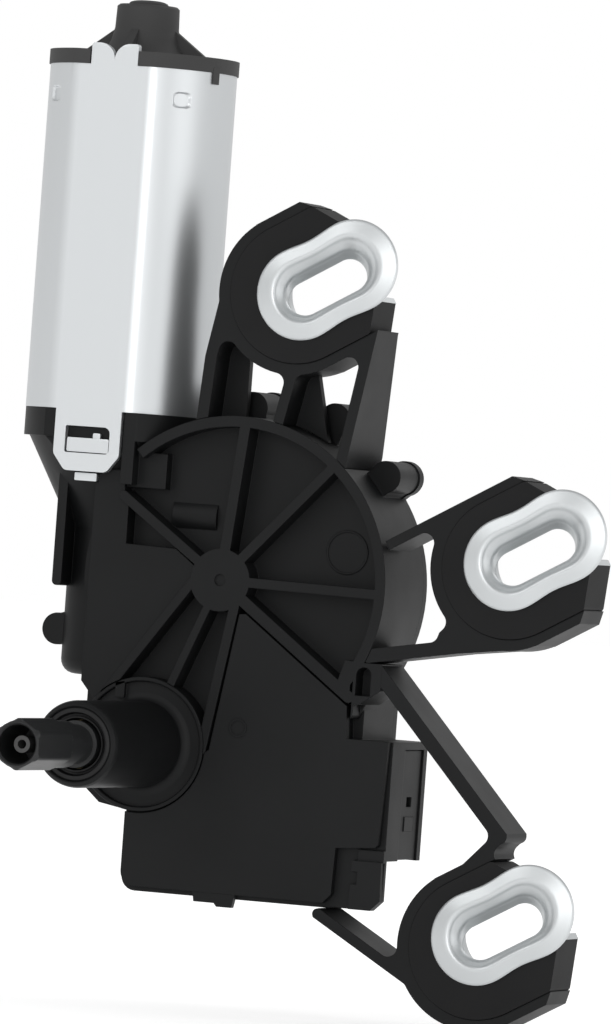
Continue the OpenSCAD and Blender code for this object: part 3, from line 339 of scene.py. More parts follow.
class Form:
    """Vertices and faces of one piece in the making, in millimetres."""

    def __init__(self) -> None:
        """Start with nothing."""
        self.points: list[np.ndarray] = []
        self.faces: list[tuple[int, ...]] = []
        self.total = 0

    def _take(self, points: np.ndarray) -> int:
        """Keep an array of points.

        Args:
            points: The points, in an array of any shape whose last axis is three long.

        Returns:
            The number of the first one.
        """
        first = self.total
        self.points.append(points.reshape(-1, 3))
        self.total += len(points.reshape(-1, 3))
        return first

    def grid(self, points: np.ndarray, wrap_rows: bool = False, wrap_columns: bool = False) -> "Form":
        """Join a grid of points with quads between neighbours.

        Args:
            points: An array of rows by columns by three.
            wrap_rows: Whether the last row joins the first.
            wrap_columns: Whether the last column joins the first.

        Returns:
            This form.
        """
        rows, columns = points.shape[:2]
        number = self._take(points) + np.arange(rows * columns).reshape(rows, columns)
        if wrap_rows:
            number = np.vstack((number, number[:1]))
        if wrap_columns:
            number = np.hstack((number, number[:, :1]))
        quads = np.stack((number[:-1, :-1], number[:-1, 1:], number[1:, 1:], number[1:, :-1]), axis=2)
        self.faces += [tuple(q) for q in quads.reshape(-1, 4).tolist()]
        return self

    def cap(self, outlines: list[np.ndarray]) -> "Form":
        """Fill a flat outline, the first, with the others as holes in it.

        Args:
            outlines: Arrays of points by three, all in one plane.

        Returns:
            This form.
        """
        first = self._take(np.vstack(outlines))
        loops = [[Vector(p) for p in outline] for outline in outlines]
        self.faces += [tuple(first + i for i in face) for face in tessellate_polygon(loops)]
        return self

    def block(self, outlines: list[np.ndarray], low: float, high: float, axis: int = 1) -> "Form":
        """Extrude flat outlines, the first with the others as holes, from low to high along an axis.

        Args:
            outlines: Arrays of points by two, in X and Z for axis 1 and in X and Y for axis 2.
            low: Where the block starts on the axis.
            high: Where it ends.
            axis: 1 for Y, 2 for Z.

        Returns:
            This form.
        """
        ends = [[np.insert(outline, axis, level, axis=1) for outline in outlines] for level in (low, high)]
        for near, far in zip(*ends):
            self.grid(np.stack((near, far)), wrap_columns=True)
        for end in ends:
            self.cap(end)
        return self

    def spun(
        self, section: np.ndarray, centre: tuple[float, float, float], axis: int, count: int = 96,
    ) -> "Form":
        """Turn a closed section, of radius and height, about an axis through the centre.

        Args:
            section: The section's points: distance from the axis, and height along it.
            centre: A point on the axis.
            axis: 1 for Y, 2 for Z.
            count: How many columns the full turn has.

        Returns:
            This form.
        """
        circle = polar(1.0, np.linspace(0, 360, count, endpoint=False))
        flat = section[:, None, :1] * circle[None, :, :]
        height = np.broadcast_to(section[:, None, 1:], (*flat.shape[:2], 1))
        parts = (flat[..., :1], height, flat[..., 1:]) if axis == 1 else (flat, height)
        return self.grid(np.concatenate(parts, axis=2) + np.asarray(centre), True, True)

    def piece(
        self, name: str, finish: Finish, slot: str, stands_for: tuple[str, ...] = (),
        edge: float = 0.0, body: str = HOUSING, crease: float = 32.0,
    ) -> bpy.types.Object:
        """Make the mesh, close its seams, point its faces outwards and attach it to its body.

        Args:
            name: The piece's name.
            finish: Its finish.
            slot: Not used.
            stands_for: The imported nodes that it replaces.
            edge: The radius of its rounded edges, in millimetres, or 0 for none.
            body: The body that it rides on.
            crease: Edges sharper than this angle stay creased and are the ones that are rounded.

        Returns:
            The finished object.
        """
        mesh = bpy.data.meshes.new(name)
        mesh.from_pydata((np.vstack(self.points) * MM).tolist(), [], self.faces)
        shaper = bmesh.new()
        shaper.from_mesh(mesh)
        bmesh.ops.remove_doubles(shaper, verts=shaper.verts, dist=WELD)
        bmesh.ops.dissolve_degenerate(shaper, edges=shaper.edges, dist=WELD)
        bmesh.ops.recalc_face_normals(shaper, faces=shaper.faces)
        shaper.to_mesh(mesh)
        shaper.free()
        mesh.polygons.foreach_set("use_smooth", np.ones(len(mesh.polygons), bool))
        made = bpy.data.objects.new(name, mesh)
        bpy.context.scene.collection.objects.link(made)
        mesh.materials.append(finish.material())
        soften(made, edge, crease)
        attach(made, body)
        if stands_for:
            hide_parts(*stands_for)
        LOG.info("%s: %d faces, on %s", name, len(mesh.polygons), body)
        return made


def soften(piece: bpy.types.Object, edge: float, crease: float = 32.0, weld: bool = False) -> None:
    """Round a piece's sharp edges and even out its shading with modifiers.

    Args:
        piece: The object.
        edge: The radius of the rounding in millimetres, or 0 for creased edges.
        crease: The angle from which an edge counts as sharp, in degrees.
        weld: Whether loose triangles are joined first.
    """
    if weld:
        join = piece.modifiers.new("weld", "WELD")
        join.merge_threshold = WELD
    if edge > 0:
        bevel = piece.modifiers.new("bevel", "BEVEL")
        bevel.width = edge * MM
        bevel.segments = 3
        bevel.limit_method = "ANGLE"
        bevel.angle_limit = math.radians(crease)
        bevel.miter_outer = "MITER_ARC"
    else:
        piece.data.set_sharp_from_angle(angle=math.radians(crease))
    even = piece.modifiers.new("even", "WEIGHTED_NORMAL")
    even.keep_sharp = True
    even.weight = 100


@dataclass
class MotorCan:
    """Bright drawn can: two flats with tongue and tabs, joined by round sides with two dimples each."""

    centre: tuple[float, float] = (-15.8, 16.0)
    radius: float = 19.3
    half_depth: float = 17.4
    flat_half: float = 7.2
    bend: float = 4.7
    wall: float = 1.6
    low: float = 67.3
    high: float = 138.1
    tongue: float = 12.6
    tongue_corner: float = 2.6
    tongue_slope: float = 1.3
    tongue_rounding: tuple[float, ...] = (SHARP, 1.6, 1.6, 1.8, 1.8, SHARP)
    tab_half: float = 5.1
    tab_height: float = 4.4
    tab_chamfer: float = 0.4
    shoulder: float = 3.4
    shoulder_end: float = 172.0
    notch: float = 1.0
    window: tuple[float, float, float, float] = (-4.8, -8.9, 4.9, -3.4)
    window_rounding: tuple[float, ...] = (0.4, 0.8, 1.3, 0.3)
    catch: tuple[float, float, float, float] = (-4.5, -8.7, 4.6, -5.8)
    catch_depth: tuple[float, float] = (0.5, 1.5)
    nub: tuple[float, float, float, float] = (1.0, -5.9, 2.6, -4.7)
    nub_depth: tuple[float, float] = (0.7, 1.5)
    small_rounding: float = 0.3
    clip_rounding: float = 0.2
    dimple_places: tuple[float, float] = (-44.0, 44.0)
    dimple_depth: float = 0.5
    dimple_level: float = 6.3
    dimple_size: tuple[float, float] = (2.0, 1.6)
    dimple_power: float = 4.0
    dimple_edge: float = 0.16
    dimple_band: float = 2.4
    band_rows: int = 33
    plain_rows: int = 6

    def build(self) -> None:
        """Build the can's shell, then the catch and clip behind its tongue."""
        form = Form()
        rows = self._rows()
        for side in (1, -1):
            self._side(form, side, rows)
            self._flat(form, side, rows)
        form.piece("motor_can_shell", BRIGHT_CAN, "bright_can", ("motor_can",), edge=0.16, crease=50)
        self._catch()

    def _rows(self) -> np.ndarray:
        """Space the grid's rows, close together across the dimples.

        Returns:
            The rows' heights from the bottom up.
        """
        middle, band = self.high - self.dimple_level, self.dimple_band
        near = np.linspace(middle - band, middle + band, self.band_rows)
        plain = np.linspace(self.low + 8, middle - 10, self.plain_rows)
        return np.concatenate(([self.low], plain, near, [self.high]))

    def _side(self, form: Form, side: int, rows: np.ndarray) -> None:
        """Add one round side, outer and inner wall, with its edges.

        A point of the outer wall with normal angle a is the arc of the big radius, or near the flats the
        bend's centre plus the bend's radius, both along the normal. Dimples pull it inwards.

        Args:
            form: The can's form.
            side: 1 for the right side, -1 for the left.
            rows: Heights of the rows.
        """
        bend_turns = np.linspace(66, 90, 9)
        angle = np.concatenate((-bend_turns[::-1], np.linspace(-64, 64, 129), bend_turns))
        normal = polar(1.0, angle)
        elbow = np.column_stack((
            np.full(len(angle), self.flat_half),
            np.sign(angle) * (self.half_depth - self.bend),
        ))
        limit = math.degrees(math.atan2(self.half_depth - self.bend, self.flat_half))
        outer = np.where(np.abs(angle)[:, None] > limit, elbow + self.bend * normal, self.radius * normal)
        inner = outer - self.wall * normal
        dent = self._dent(angle, rows)
        wall = outer[None] - normal[None] * dent[..., None]
        back = np.broadcast_to(inner[None], wall.shape)
        shell = np.concatenate((wall, back[::-1]), axis=0)
        height = np.concatenate((rows, rows[::-1]))[:, None, None]
        points = np.concatenate((
            self.centre[0] + side * shell[..., :1], self.centre[1] + shell[..., 1:],
            np.broadcast_to(height, (*shell.shape[:2], 1)),
        ), axis=2)
        form.grid(points, wrap_rows=True)

    def _dent(self, angle: np.ndarray, rows: np.ndarray) -> np.ndarray:
        """Depth of the dimples over the grid: full inside a soft-edged rectangle, nothing outside.

        A point's reach is the fourth root of the sum of its distances along and across to the fourth power,
        each as a share of the dimple's half size. The depth falls to nothing where the reach nears 1.

        Args:
            angle: The columns' normal angles.
            rows: The rows' heights.

        Returns:
            An array of rows by columns.
        """
        dent = np.zeros((len(rows), len(angle)))
        power = self.dimple_power
        along = np.abs(rows - self.high + self.dimple_level) / self.dimple_size[1]
        for place in self.dimple_places:
            across = np.abs(angle - place) * math.radians(self.radius) / self.dimple_size[0]
            reach = (across[None, :] ** power + along[:, None] ** power) ** (1 / power)
            dent += self.dimple_depth * np.clip((1.0 - reach) / self.dimple_edge, 0, 1)
        return dent

    def _flat(self, form: Form, side: int, rows: np.ndarray) -> None:
        """Add one flat with its tongue and tabs, as a sheet with a window.

        Args:
            form: The can's form.
            side: 1 for the front, -1 for the back.
            rows: Heights of the rows, which the sheet's sides share.
        """
        w, low = self.flat_half, self.low - self.tongue
        cut, rise = self.tongue_corner, self.tongue_slope * self.tongue_corner
        # The first and last corners only give the sides their direction, and their arcs are left out
        foot = rounded([
            (-w, self.low), (-w, low + rise), (-w + cut, low), (w - cut, low), (w, low + rise), (w, self.low),
        ], self.tongue_rounding)[ARC_STEPS:-ARC_STEPS]
        right = np.column_stack((np.full(len(rows), w), rows))
        left = np.column_stack((np.full(len(rows), -w), rows[::-1]))
        outline = np.vstack((foot, right, self._tabs(), left)) + (self.centre[0], 0.0)
        hole = rounded(box_corners(*self.window), self.window_rounding)[::-1] + (self.centre[0], self.low)
        front = self.centre[1] - side * self.half_depth
        levels = (front, front + side * self.wall)
        faces = [[np.insert(loop, 1, level, axis=1) for loop in (outline, hole)] for level in levels]
        for face in faces:
            form.cap(face)
        form.grid(np.stack([face[0][len(foot) + len(rows) - 1:-len(rows) + 1] for face in faces]))
        bottom = [np.vstack((face[0][-1:], face[0][:len(foot) + 1])) for face in faces]
        form.grid(np.stack(bottom))
        form.grid(np.stack([face[1] for face in faces]), wrap_columns=True)

    def _tabs(self) -> np.ndarray:
        """Draw the two tabs from right to left: flat tops with round shoulders that meet in a notch.

        Returns:
            The open outline.
        """
        r, h, half, cut = self.shoulder, self.tab_height, self.tab_half, self.tab_chamfer
        arc = polar(r, np.linspace(90, self.shoulder_end, 9)) + (r, h - r)
        right = np.vstack(([(half, 0.0), (half, h - cut), (half - cut, h)], arc))
        left = (right * (-1.0, 1.0))[::-1]
        low = np.array([[0.0, self.notch]])
        return np.vstack((right, low, left)) + (0.0, self.high)

    def _catch(self) -> None:
        """Add the steel catch plate with its nub, seen in the tongue's window, and the clip under it."""
        front = self.centre[1] - self.half_depth
        form = Form()
        for plate, depth in ((self.catch, self.catch_depth), (self.nub, self.nub_depth)):
            outline = rounded(box_corners(*plate), self.small_rounding) + (self.centre[0], self.low)
            form.block([outline], front + depth[0], front + depth[1])
        form.piece("tongue_catch", BRIGHT_CAN, "bright_can", edge=0.1)
        low, high = (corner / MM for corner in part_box("can_clip"))
        sides = rounded(box_corners(low.x, low.z, high.x, high.z), self.clip_rounding)
        clip = Form().block([sides], low.y, high.y)
        clip.piece("spring_clip", BRIGHT_CAN, "bright_can", ("can_clip",), edge=0.2)


@dataclass
class EndCap:
    """Black moulded cap: a rim over the can, a flared boss with a dome, and thin fins."""

    centre: tuple[float, float] = (-15.8, 16.0)
    radius: float = 19.6
    half_depth: float = 17.7
    low: float = 138.12
    rim: float = 3.0
    boss_radius: float = 6.6
    boss_height: float = 10.4
    boss_chamfer: float = 0.45
    skirt: tuple[tuple[float, float], ...] = ((10.4, -0.4), (8.9, 0.5), (7.5, 2.3), (6.8, 4.6))
    crown: tuple[tuple[float, float], ...] = ((4.1, 10.2), (3.9, 10.9), (2.6, 11.35), (NEAR_AXIS, 11.5))
    ledge_radius: float = 4.3
    sunk: float = 0.4
    side_fin_reach: float = 14.2
    front_fin_reach: float = 12.6
    fin_height: float = 5.6
    fin_half: float = 0.8
    notch_half: float = 5.3
    notch_depth: float = 2.1
    plug_turn: float = -20.0
    plug: tuple[float, float] = (1.0, 2.4)
    plug_sides: tuple[float, float] = (-1.6, 0.1)
    plug_top: float = 1.0

    def build(self) -> None:
        """Build the whole cap as one piece."""
        form = Form()
        top = self.low + self.rim
        form.block([self._plan()], self.low, top, axis=2)
        x, y = self.centre
        r, height, cut = self.boss_radius, self.boss_height, self.boss_chamfer
        tower = [
            (r, self.fin_height), (r - 0.15, height - cut), (r - 0.65, height), (self.ledge_radius, height),
        ]
        foot = [(NEAR_AXIS, -self.sunk)]
        section = np.vstack((smooth(self.skirt, 6), tower, smooth(self.crown, 5), foot))
        form.spun(section + (0.0, top), (x, y, 0.0), 2)
        for turn, reach in (
            (0.0, self.side_fin_reach), (180.0, self.side_fin_reach),
            (270.0, self.front_fin_reach), (90.0, self.front_fin_reach),
        ):
            self._fin(form, turn, reach, top)
        half, depth = self.plug
        near, far = (self.radius + side for side in self.plug_sides)
        plug = turned(rounded(box_corners(near, -half, far, half), 0.15), self.plug_turn) + (x, y)
        form.block([plug], self.low - depth, self.low + self.plug_top, axis=2)
        form.piece("end_cap_moulding", CAP_PLASTIC, "cap_plastic", ("end_cap",), edge=0.35, crease=38)

    def _plan(self) -> np.ndarray:
        """Draw the rim from above: a circle with two flats, each with a notch for the can's tabs.

        Returns:
            The closed outline in X and Y.
        """
        half = math.degrees(math.asin(self.half_depth / self.radius))
        right = polar(self.radius, np.linspace(-half, half, 60))
        edge, n, d = self.half_depth, self.notch_half, self.notch_depth
        back = np.array([(n, edge), (n, edge - d), (-n, edge - d), (-n, edge)])
        ring = np.vstack((right, back, -right, -back))
        return ring + np.array(self.centre)

    def _fin(self, form: Form, turn: float, reach: float, top: float) -> None:
        """Add one triangular fin between the rim and the boss, sunk a little into both.

        Args:
            form: The cap's form.
            turn: Its direction about the boss, in degrees.
            reach: How far its foot lies from the boss's axis.
            top: The rim's upper face.
        """
        outer, inner, foot = self.boss_radius - 0.4, self.boss_radius - 3.0, -0.3
        side = np.array([
            (reach, foot), (reach - 0.4, 0.0), (outer, self.fin_height), (inner, self.fin_height),
            (inner, foot),
        ])
        c, s = math.cos(math.radians(turn)), math.sin(math.radians(turn))
        ends = []
        for off in (-self.fin_half, self.fin_half):
            x = side[:, 0] * c - off * s + self.centre[0]
            y = side[:, 0] * s + off * c + self.centre[1]
            ends.append(np.column_stack((x, y, side[:, 1] + top)))
        form.grid(np.stack(ends), wrap_columns=True)
        form.cap([ends[0]]).cap([ends[1]])


# Sections of the bush's flange, from the slot out over the crest to the rim, and back behind it. Each row
# holds radius, depth, spacing of the slot's ends, waist, and how far it lies off along and across the slot.
FLANGE_FRONT = [
    (3.7, 3.3, 10.4, 0.0, -1.8, -0.9), (3.8, 3.0, 10.4, 0.0, -1.8, -0.9),
    (4.1, 1.3, 10.4, 0.0, -1.0, -0.4), (4.2, 0.8, 10.4, 0.0, -0.8, -0.3),
    (4.5, 0.1, 10.6, 0.0, -0.6, -0.2), (5.1, -0.65, 10.8, 0.1, -0.4, 0.0),
    (5.7, -1.15, 11.0, 0.2, -0.2, 0.0), (6.2, -1.7, 11.2, 0.2, 0.0, 0.0),
    (6.8, -1.85, 11.4, 0.25, 0.0, 0.0), (7.6, -1.65, 11.8, 0.35, 0.0, 0.0),
    (8.6, -1.35, 12.2, 0.45, 0.0, 0.0), (9.2, -1.15, 12.4, 0.5, 0.0, 0.0),
    (9.5, -0.9, 12.5, 0.5, 0.0, 0.0),
]
FLANGE_BACK = [
    (9.45, -0.55, 12.5, 0.5, 0.0, 0.0), (9.2, -0.45, 12.4, 0.5, 0.0, 0.0),
    (7.4, -0.5, 11.6, 0.3, 0.0, 0.0), (6.4, -0.7, 11.2, 0.2, 0.0, 0.0),
    (5.8, -0.1, 11.0, 0.2, -0.2, 0.0), (5.2, 1.0, 10.7, 0.1, -0.7, -0.2),
    (4.8, 2.0, 10.5, 0.0, -1.2, -0.5), (4.3, 3.5, 10.4, 0.0, -1.8, -0.9),
]


@dataclass
class ForkEye:
    """What one fork holds: a rubber block with a pressed steel bush in it."""

    label: str
    eye: tuple[float, float]
    flange_shift: tuple[float, float] = (0.0, 0.0)
    tilt: float = 30.0
    depth: float = 13.0
    rubber_radius: float = 14.4
    rubber_shift: float = 7.4
    rubber_corner: float = 3.0
    rubber_lean: float = 55.0
    rubber_rounding: float = 1.2
    rubber_front: float = -0.4
    sleeve_outer: float = 8.4
    sleeve_inner: float = 7.2
    sleeve_front: float = -0.6
    span: float = 11.5
    end_steps: int = 40
    side_steps: int = 11

    def build(self) -> None:
        """Build the rubber block, then the bush."""
        self._rubber()
        self._bush()

    def _place(self, outline: np.ndarray) -> np.ndarray:
        """Turn an outline from the slot's frame to the eye's place in X and Z."""
        return turned(outline, self.tilt) + np.array(self.eye)

    def _offset(self) -> np.ndarray:
        """How far the bush's centre lies off the eye, in the slot's frame."""
        return turned(np.array(self.flange_shift), -self.tilt)

    def _arc(self, radius: float) -> np.ndarray:
        """Outline of the bore that the bush sits in, from its lower end round the back to its upper end.

        Each end lies where the rubber's slanted end crosses the sleeve's end circle; a smaller radius stops
        at the same distance along the slot.

        Args:
            radius: The arc's radius.

        Returns:
            The open outline as an array of points in the slot's frame.
        """
        right, left = self._offset() + (self.span / 2, 0.0), self._offset() - (self.span / 2, 0.0)
        stops = []
        for side in (-1.0, 1.0):
            start = np.array([self.rubber_corner, side * self.rubber_radius]) - right
            lean = math.radians(self.rubber_lean)
            way = np.array([math.cos(lean), -side * math.sin(lean)])
            nearest = -float(start @ way)
            reach = nearest - math.sqrt(nearest**2 - float(start @ start) + self.sleeve_outer**2)
            stops.append(math.degrees(math.acos(float((start + reach * way)[0]) / radius)))
        return np.vstack((
            polar(radius, np.linspace(360 - stops[0], 270, 12)) + right,
            polar(radius, np.linspace(270, 90, 48)[1:-1]) + left,
            polar(radius, np.linspace(90, stops[1], 12)) + right,
        ))

    def _rubber(self) -> None:
        """Extrude the block's outline round the sleeve: a half circle, straight sides and slanted ends."""
        r, shift, corner = self.rubber_radius, self.rubber_shift, self.rubber_corner
        bore = self._arc(self.sleeve_outer)
        steps, radii = 8, (SHARP, self.rubber_rounding, SHARP)
        # Of each three corners only the middle one's arc is kept
        low, high = (
            rounded([(-shift, side * r), (corner, side * r), tuple(tip)], radii, steps)[steps:-steps]
            for side, tip in ((-1.0, bore[0]), (1.0, bore[-1]))
        )
        outline = np.vstack((polar(r, np.linspace(90, 270, 60)) - (shift, 0.0), low, bore, high[::-1]))
        form = Form().block([self._place(outline)], self.rubber_front, self.rubber_front + self.depth)
        form.piece(
            f"{self.label}_rubber_block", BLOCK_RUBBER, "rubber", (f"{self.label}_grommet",), edge=0.5,
        )

    def _bush(self) -> None:
        """Join the dished flange and the sleeve behind it, which is open at the tip as the rubber is."""
        form = Form().grid(self._flange(), wrap_rows=True, wrap_columns=True)
        form.block([self._place(self._sleeve())], self.sleeve_front, self.depth)
        form.piece(
            f"{self.label}_pressed_bush", PRESSED_STEEL, "pressed_steel", (f"{self.label}_bush",), crease=48,
        )

    def _flange(self) -> np.ndarray:
        """Loft the flange: each row of its section makes one slot outline with a slight waist.

        A point lies at its row's radius from the nearer end's centre, or from the line between the ends.
        Along that line the radius is less by the waist times the squared cosine of an angle that runs from
        -90 to 90 degrees.

        Returns:
            The grid of points, section by outline.
        """
        row = np.vstack((smooth(FLANGE_FRONT, 4), FLANGE_BACK))[:, None, :]
        ends, sides = self.end_steps, self.side_steps
        side = np.linspace(0.5, -0.5, sides + 2)[1:-1]
        angles = np.concatenate((
            np.linspace(-90, 90, ends), np.full(sides, 90), np.linspace(90, 270, ends), np.full(sides, 270),
        ))
        way = np.concatenate((np.full(ends, 0.5), side, np.full(ends, -0.5), side[::-1]))[None, :]
        ring = polar(1.0, angles)[None]
        across = row[..., 0] * ring[..., 0] + row[..., 2] * way + row[..., 4]
        along = (row[..., 0] - row[..., 3] * np.cos(np.pi * way) ** 2) * ring[..., 1] + row[..., 5]
        c, s = math.cos(math.radians(self.tilt)), math.sin(math.radians(self.tilt))
        return np.stack((
            self.eye[0] + self.flange_shift[0] + across * c - along * s,
            np.broadcast_to(row[..., 1], across.shape),
            self.eye[1] + self.flange_shift[1] + across * s + along * c,
        ), axis=2)

    def _sleeve(self) -> np.ndarray:
        """Outline of the sleeve: its outer wall one way and its inner wall back, open at the tip."""
        return np.vstack((self._arc(self.sleeve_outer), self._arc(self.sleeve_inner)[::-1]))


@dataclass
class SpindleGroup:
    """Neck, seal and hollow spindle with its hexagonal nose, all about the Y axis."""

    neck_radius: float = 8.8
    neck_bore: float = 6.6
    neck_back: float = 7.5
    mouth: float = -37.0
    seat_radius: float = 7.4
    seat_depth: float = 4.0
    flange_radius: float = 13.75
    flange_front: float = 0.2
    flange_back: float = 5.5
    seal_bore: float = 4.87
    nose: float = -69.0
    hex_length: float = 19.0
    hex_radius: float = 5.35
    hex_corner: float = 0.5
    shaft_radius: float = 4.75
    shaft_step: float = -44.0
    shaft_back: float = 22.0
    bore_radius: float = 3.9
    bore_length: float = 14.0
    passage_radius: float = 2.6

    def build(self) -> None:
        """Build the neck, the seal and the spindle."""
        self._neck()
        self._seal()
        self._spindle()

    def _neck(self) -> None:
        """Spin the neck's section: bevelled mouth, long wall, root fillet, cup and thin flange ring."""
        r, m, bore, seat = self.neck_radius, self.mouth, self.neck_bore, self.seat_radius
        rim, front, back, end = self.flange_radius, self.flange_front, self.flange_back, self.neck_back
        fillet = smooth([(r, -0.02), (r + 0.25, 0.5), (r + 0.9, 1.0), (r + 1.9, 1.25)], 4)
        section = np.vstack((
            [(bore, end), (bore, m + self.seat_depth), (seat, m + self.seat_depth)],
            [(seat, m + 0.25), (seat + 0.25, m), (r - 0.95, m), (r - 0.3, m + 0.55)],
            [(r - 0.05, m + 1.3), (r, m + 1.8)],
            fillet,
            [(rim - 0.95, 1.3), (rim - 0.9, front + 0.15), (rim - 0.75, front), (rim - 0.15, front)],
            [(rim, front + 0.15), (rim, back), (r, back), (r, end)],
        ))
        form = Form().spun(section, (0.0, 0.0, 0.0), 1, 128)
        form.block([rounded([(-6.2, 9.2), (-4.2, 9.2), (-4.2, 12.6), (-6.2, 12.2)], 0.3)], 0.2, 1.4)
        form.piece("neck_moulding", CASE_PLASTIC, "moulded_case", ("spindle_neck",), crease=28)

    def _seal(self) -> None:
        """Spin the stepped seal that fills the neck's mouth."""
        r, m, bore = self.seat_radius - 0.02, self.mouth, self.seal_bore
        section = np.array([
            (bore, m + 3.4), (r, m + 3.9), (r, m + 0.5), (r - 0.3, m + 0.3), (r - 0.95, m + 0.3),
            (r - 1.15, m + 0.7), (r - 1.3, m + 1.4), (r - 1.7, m + 1.5), (r - 1.8, m + 1.1),
            (r - 2.1, m + 1.1), (r - 2.2, m + 1.9), (bore, m + 2.6),
        ])
        form = Form().spun(section, (0.0, 0.0, 0.0), 1, 96)
        form.piece("stepped_seal", SEAL_RUBBER, "rubber", ("spindle_seal",), crease=40)

    def _spindle(self) -> None:
        """Loft the spindle from rings that are circles or lie inside a hexagon with soft corners.

        A hexagon's radius at an angle is its flat's distance over the cosine of the angle to that flat.
        """
        count = 144
        angle = np.linspace(0, 360, count, endpoint=False)
        flat = self.hex_radius * math.cos(math.radians(30))
        to_flat = flat / np.cos(np.radians((angle + 30.0) % 60.0 - 30.0))
        hexagon = np.minimum(to_flat, self.hex_radius - self.hex_corner * 0.35)
        n, h, r = self.nose, self.nose + self.hex_length, self.shaft_radius
        step, back, mouth = self.shaft_step, self.shaft_back, self.mouth
        passage, bore, deep = self.passage_radius, self.bore_radius, self.nose + self.bore_length
        whole = 2 * self.hex_radius
        # Each ring's radius, its place along Y, and 1 where the hexagon cuts it
        rings = np.array([
            (passage, back, 0), (passage, deep, 0), (bore, deep, 0), (bore, n + 0.4, 0), (bore + 0.35, n, 0),
            (flat - 0.25, n, 1), (flat + 0.05, n + 0.2, 1), (whole, n + 0.75, 1), (whole, h - 0.6, 1),
            (r + 0.08, h, 1), (r, h + 0.1, 1), (r, step - 0.3, 0), (r - 0.3, step, 0),
            (r - 0.75, step + 0.05, 0), (r - 0.75, mouth - 0.2, 0), (r, mouth - 0.1, 0), (r, back, 0),
        ])
        limit = np.where(rings[:, 2:] == 1, hexagon, np.inf)
        radius = np.minimum(rings[:, :1], limit)
        turn = np.radians(angle)
        depth = np.broadcast_to(rings[:, 1:2], radius.shape)
        points = np.stack((radius * np.cos(turn), depth, radius * np.sin(turn)), axis=2)
        form = Form().grid(points, wrap_rows=True, wrap_columns=True)
        form.piece(
            "hollow_spindle", COATED_STEEL, "spindle_black", ("output_spindle",), body=SPINDLE, crease=24,
        )


# The rounding of the moulded nodes' edges, and from which angle an edge of theirs is rounded
NODE_CREASE = 40.0
NODE_EDGES: dict[str, float] = {
    "gear_housing": 0.3, "upper_fork": 0.45, "middle_fork": 0.45, "lower_fork": 0.45,
    "electronics_cover": 0.3, "connector_socket": 0.35, "rear_cover": 0.4,
}


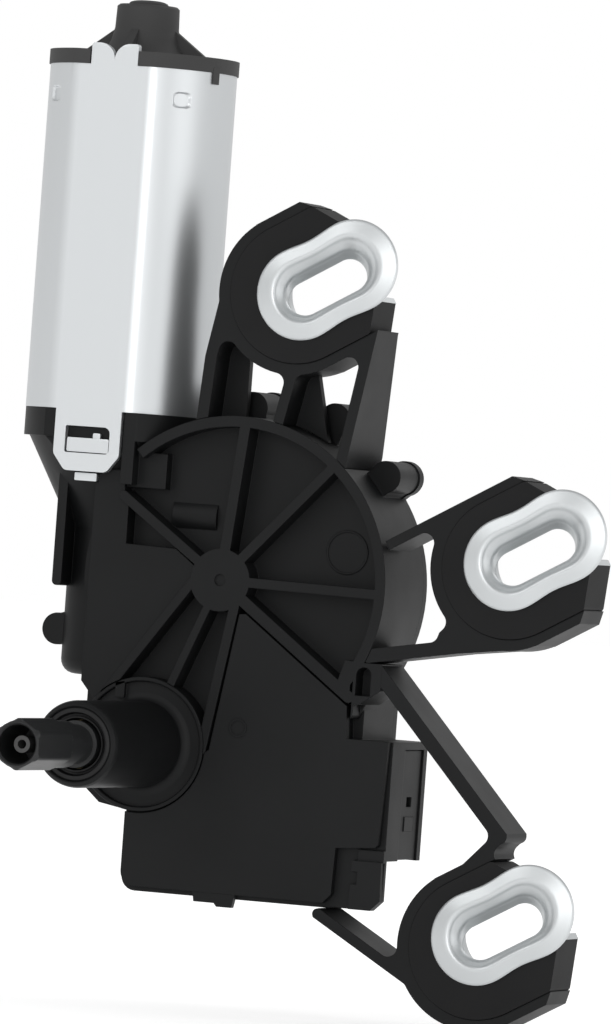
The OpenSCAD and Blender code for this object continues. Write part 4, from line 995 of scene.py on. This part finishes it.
@dataclass
class Studio:
    """The camera at the photograph's viewing angle, soft lights and a pale floor."""

    azimuth: float = 19.5
    roll: float = 4.2
    scale: float = 4.9
    focal_px: float = 8800.0
    image: tuple[int, int] = (611, 1024)
    origin_px: tuple[float, float] = (139.4, 744.0)
    sensor: float = 36.0
    surround_levels: tuple[float, float] = (0.98, 0.56)
    target: tuple[float, float, float] = (0.02, 0.0, 0.05)
    floor_gap: float = 0.0005
    floor_half: float = 6.0
    floor_grey: float = 0.8
    floor_glow: float = 0.5

    def build(self) -> None:
        """Make the camera, the lights, the world and the floor."""
        self.camera()
        self.world()
        self.lights()
        self.floor()

    def camera(self) -> None:
        """Aim the camera so that the spindle's axis lands on its place in the image.

        The image's right and up directions are the level right direction and Z, turned by the roll.
        """
        turn, roll = math.radians(self.azimuth), math.radians(self.roll)
        right = Vector((math.cos(turn), math.sin(turn), 0.0))
        back = Vector((math.sin(turn), -math.cos(turn), 0.0))
        up = Vector((0.0, 0.0, 1.0))
        image_right = right * math.cos(roll) + up * math.sin(roll)
        image_up = up * math.cos(roll) - right * math.sin(roll)
        across = (self.image[0] / 2 - self.origin_px[0]) / self.scale * MM
        down = (self.image[1] / 2 - self.origin_px[1]) / self.scale * MM
        aim = image_right * across - image_up * down
        distance = self.focal_px / self.scale * MM
        data = bpy.data.cameras.new("camera")
        data.sensor_width = self.sensor
        data.lens = self.focal_px / max(self.image) * self.sensor
        data.clip_start, data.clip_end = 0.05, 50.0
        camera = bpy.data.objects.new("camera", data)
        bpy.context.scene.collection.objects.link(camera)
        basis = Matrix((image_right, image_up, back)).transposed()
        camera.matrix_world = Matrix.Translation(aim + back * distance) @ basis.to_4x4()
        bpy.context.scene.camera = camera

    def world(self) -> None:
        """Make a surround that is white to the camera and a soft grey gradient in all reflections."""
        world = bpy.data.worlds.new("surround")
        world.use_nodes = True
        tree = world.node_tree
        background = tree.nodes["Background"]
        background.inputs["Strength"].default_value = 1.0
        place = tree.nodes.new("ShaderNodeTexCoord")
        axes = tree.nodes.new("ShaderNodeSeparateXYZ")
        height = tree.nodes.new("ShaderNodeMapRange")
        height.inputs["From Min"].default_value = -1.0
        ramp = tree.nodes.new("ShaderNodeValToRGB")
        for stop, level in zip(ramp.color_ramp.elements, self.surround_levels):
            stop.color = (level, level, level, 1.0)
        kind = tree.nodes.new("ShaderNodeLightPath")
        choose = tree.nodes.new("ShaderNodeMix")
        choose.data_type = "RGBA"
        choose.inputs["B"].default_value = (1.0, 1.0, 1.0, 1.0)
        tree.links.new(place.outputs["Generated"], axes.inputs["Vector"])
        tree.links.new(axes.outputs["Z"], height.inputs["Value"])
        tree.links.new(height.outputs["Result"], ramp.inputs["Fac"])
        tree.links.new(ramp.outputs["Color"], choose.inputs["A"])
        tree.links.new(kind.outputs["Is Camera Ray"], choose.inputs["Factor"])
        tree.links.new(choose.outputs["Result"], background.inputs["Color"])
        bpy.context.scene.world = world
        bpy.context.scene.view_settings.view_transform = "Standard"

    def lights(self) -> None:
        """Hang soft area lights round the object."""
        self.area("key", (-0.75, -1.1, 0.8), (0.6, 0.6), 2.5)
        self.area("front", (0.72, -2.4, 0.15), (1.5, 1.6), 22.0)
        self.area("side", (1.3, -0.35, 0.25), (0.7, 0.7), 1.5)
        self.area("rim", (0.5, 0.9, 0.9), (0.8, 0.8), 2.5)

    def area(
        self, name: str, place: tuple[float, float, float], size: tuple[float, float], power: float,
    ) -> None:
        """Add one rectangular area light that faces the object.

        Args:
            name: The light's name.
            place: Where it stands, in metres.
            size: Its width and height, in metres.
            power: Its power, in watts.
        """
        data = bpy.data.lights.new(name, "AREA")
        data.shape = "RECTANGLE"
        data.size, data.size_y = size
        data.energy = power
        lamp = bpy.data.objects.new(name, data)
        bpy.context.scene.collection.objects.link(lamp)
        lamp.location = place
        aim = Vector(self.target) - lamp.location
        lamp.rotation_mode = "QUATERNION"
        lamp.rotation_quaternion = aim.to_track_quat("-Z", "Y")

    def floor(self) -> None:
        """Lay a wide pale floor just under the object."""
        low, half, grey = CAD_BOX[0].z - self.floor_gap, self.floor_half, self.floor_grey
        mesh = bpy.data.meshes.new("floor")
        corners = [(-half, -half, low), (half, -half, low), (half, half, low), (-half, half, low)]
        mesh.from_pydata(corners, [], [(0, 1, 2, 3)])
        plane = bpy.data.objects.new("floor", mesh)
        bpy.context.scene.collection.objects.link(plane)
        pale = bpy.data.materials.new("floor")
        pale.use_nodes = True
        shader = pale.node_tree.nodes["Principled BSDF"]
        shader.inputs["Base Color"].default_value = (grey, grey, grey, 1.0)
        shader.inputs["Roughness"].default_value = 0.9
        shader.inputs["Emission Color"].default_value = (1.0, 1.0, 1.0, 1.0)
        shader.inputs["Emission Strength"].default_value = self.floor_glow
        mesh.materials.append(pale)


def dress_nodes() -> None:
    """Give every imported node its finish."""
    for name, finish in NODE_FINISHES.items():
        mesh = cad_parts[name].data
        mesh.materials.clear()
        mesh.materials.append(finish.material())
        LOG.info("dressed %s in %s", name, finish.name)


def soften_nodes() -> None:
    """Round the edges of the moulded nodes that stay."""
    for name, radius in NODE_EDGES.items():
        soften(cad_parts[name], radius, NODE_CREASE, weld=True)


def main() -> None:
    """Build the studio and every sub-assembly in order."""
    logging.basicConfig(level=logging.INFO, format="%(message)s")
    Studio().build()
    dress_nodes()
    soften_nodes()
    for group in (
        MotorCan(), EndCap(), SpindleGroup(),
        ForkEye("upper", UPPER_EYE, (0.0, -0.75)), ForkEye("middle", MIDDLE_EYE, (-1.2, 0.2)),
        ForkEye("lower", LOWER_EYE, (-1.1, 1.4)),
    ):
        LOG.info("building %s", type(group).__name__)
        group.build()


if __name__ == "__main__":
    main()
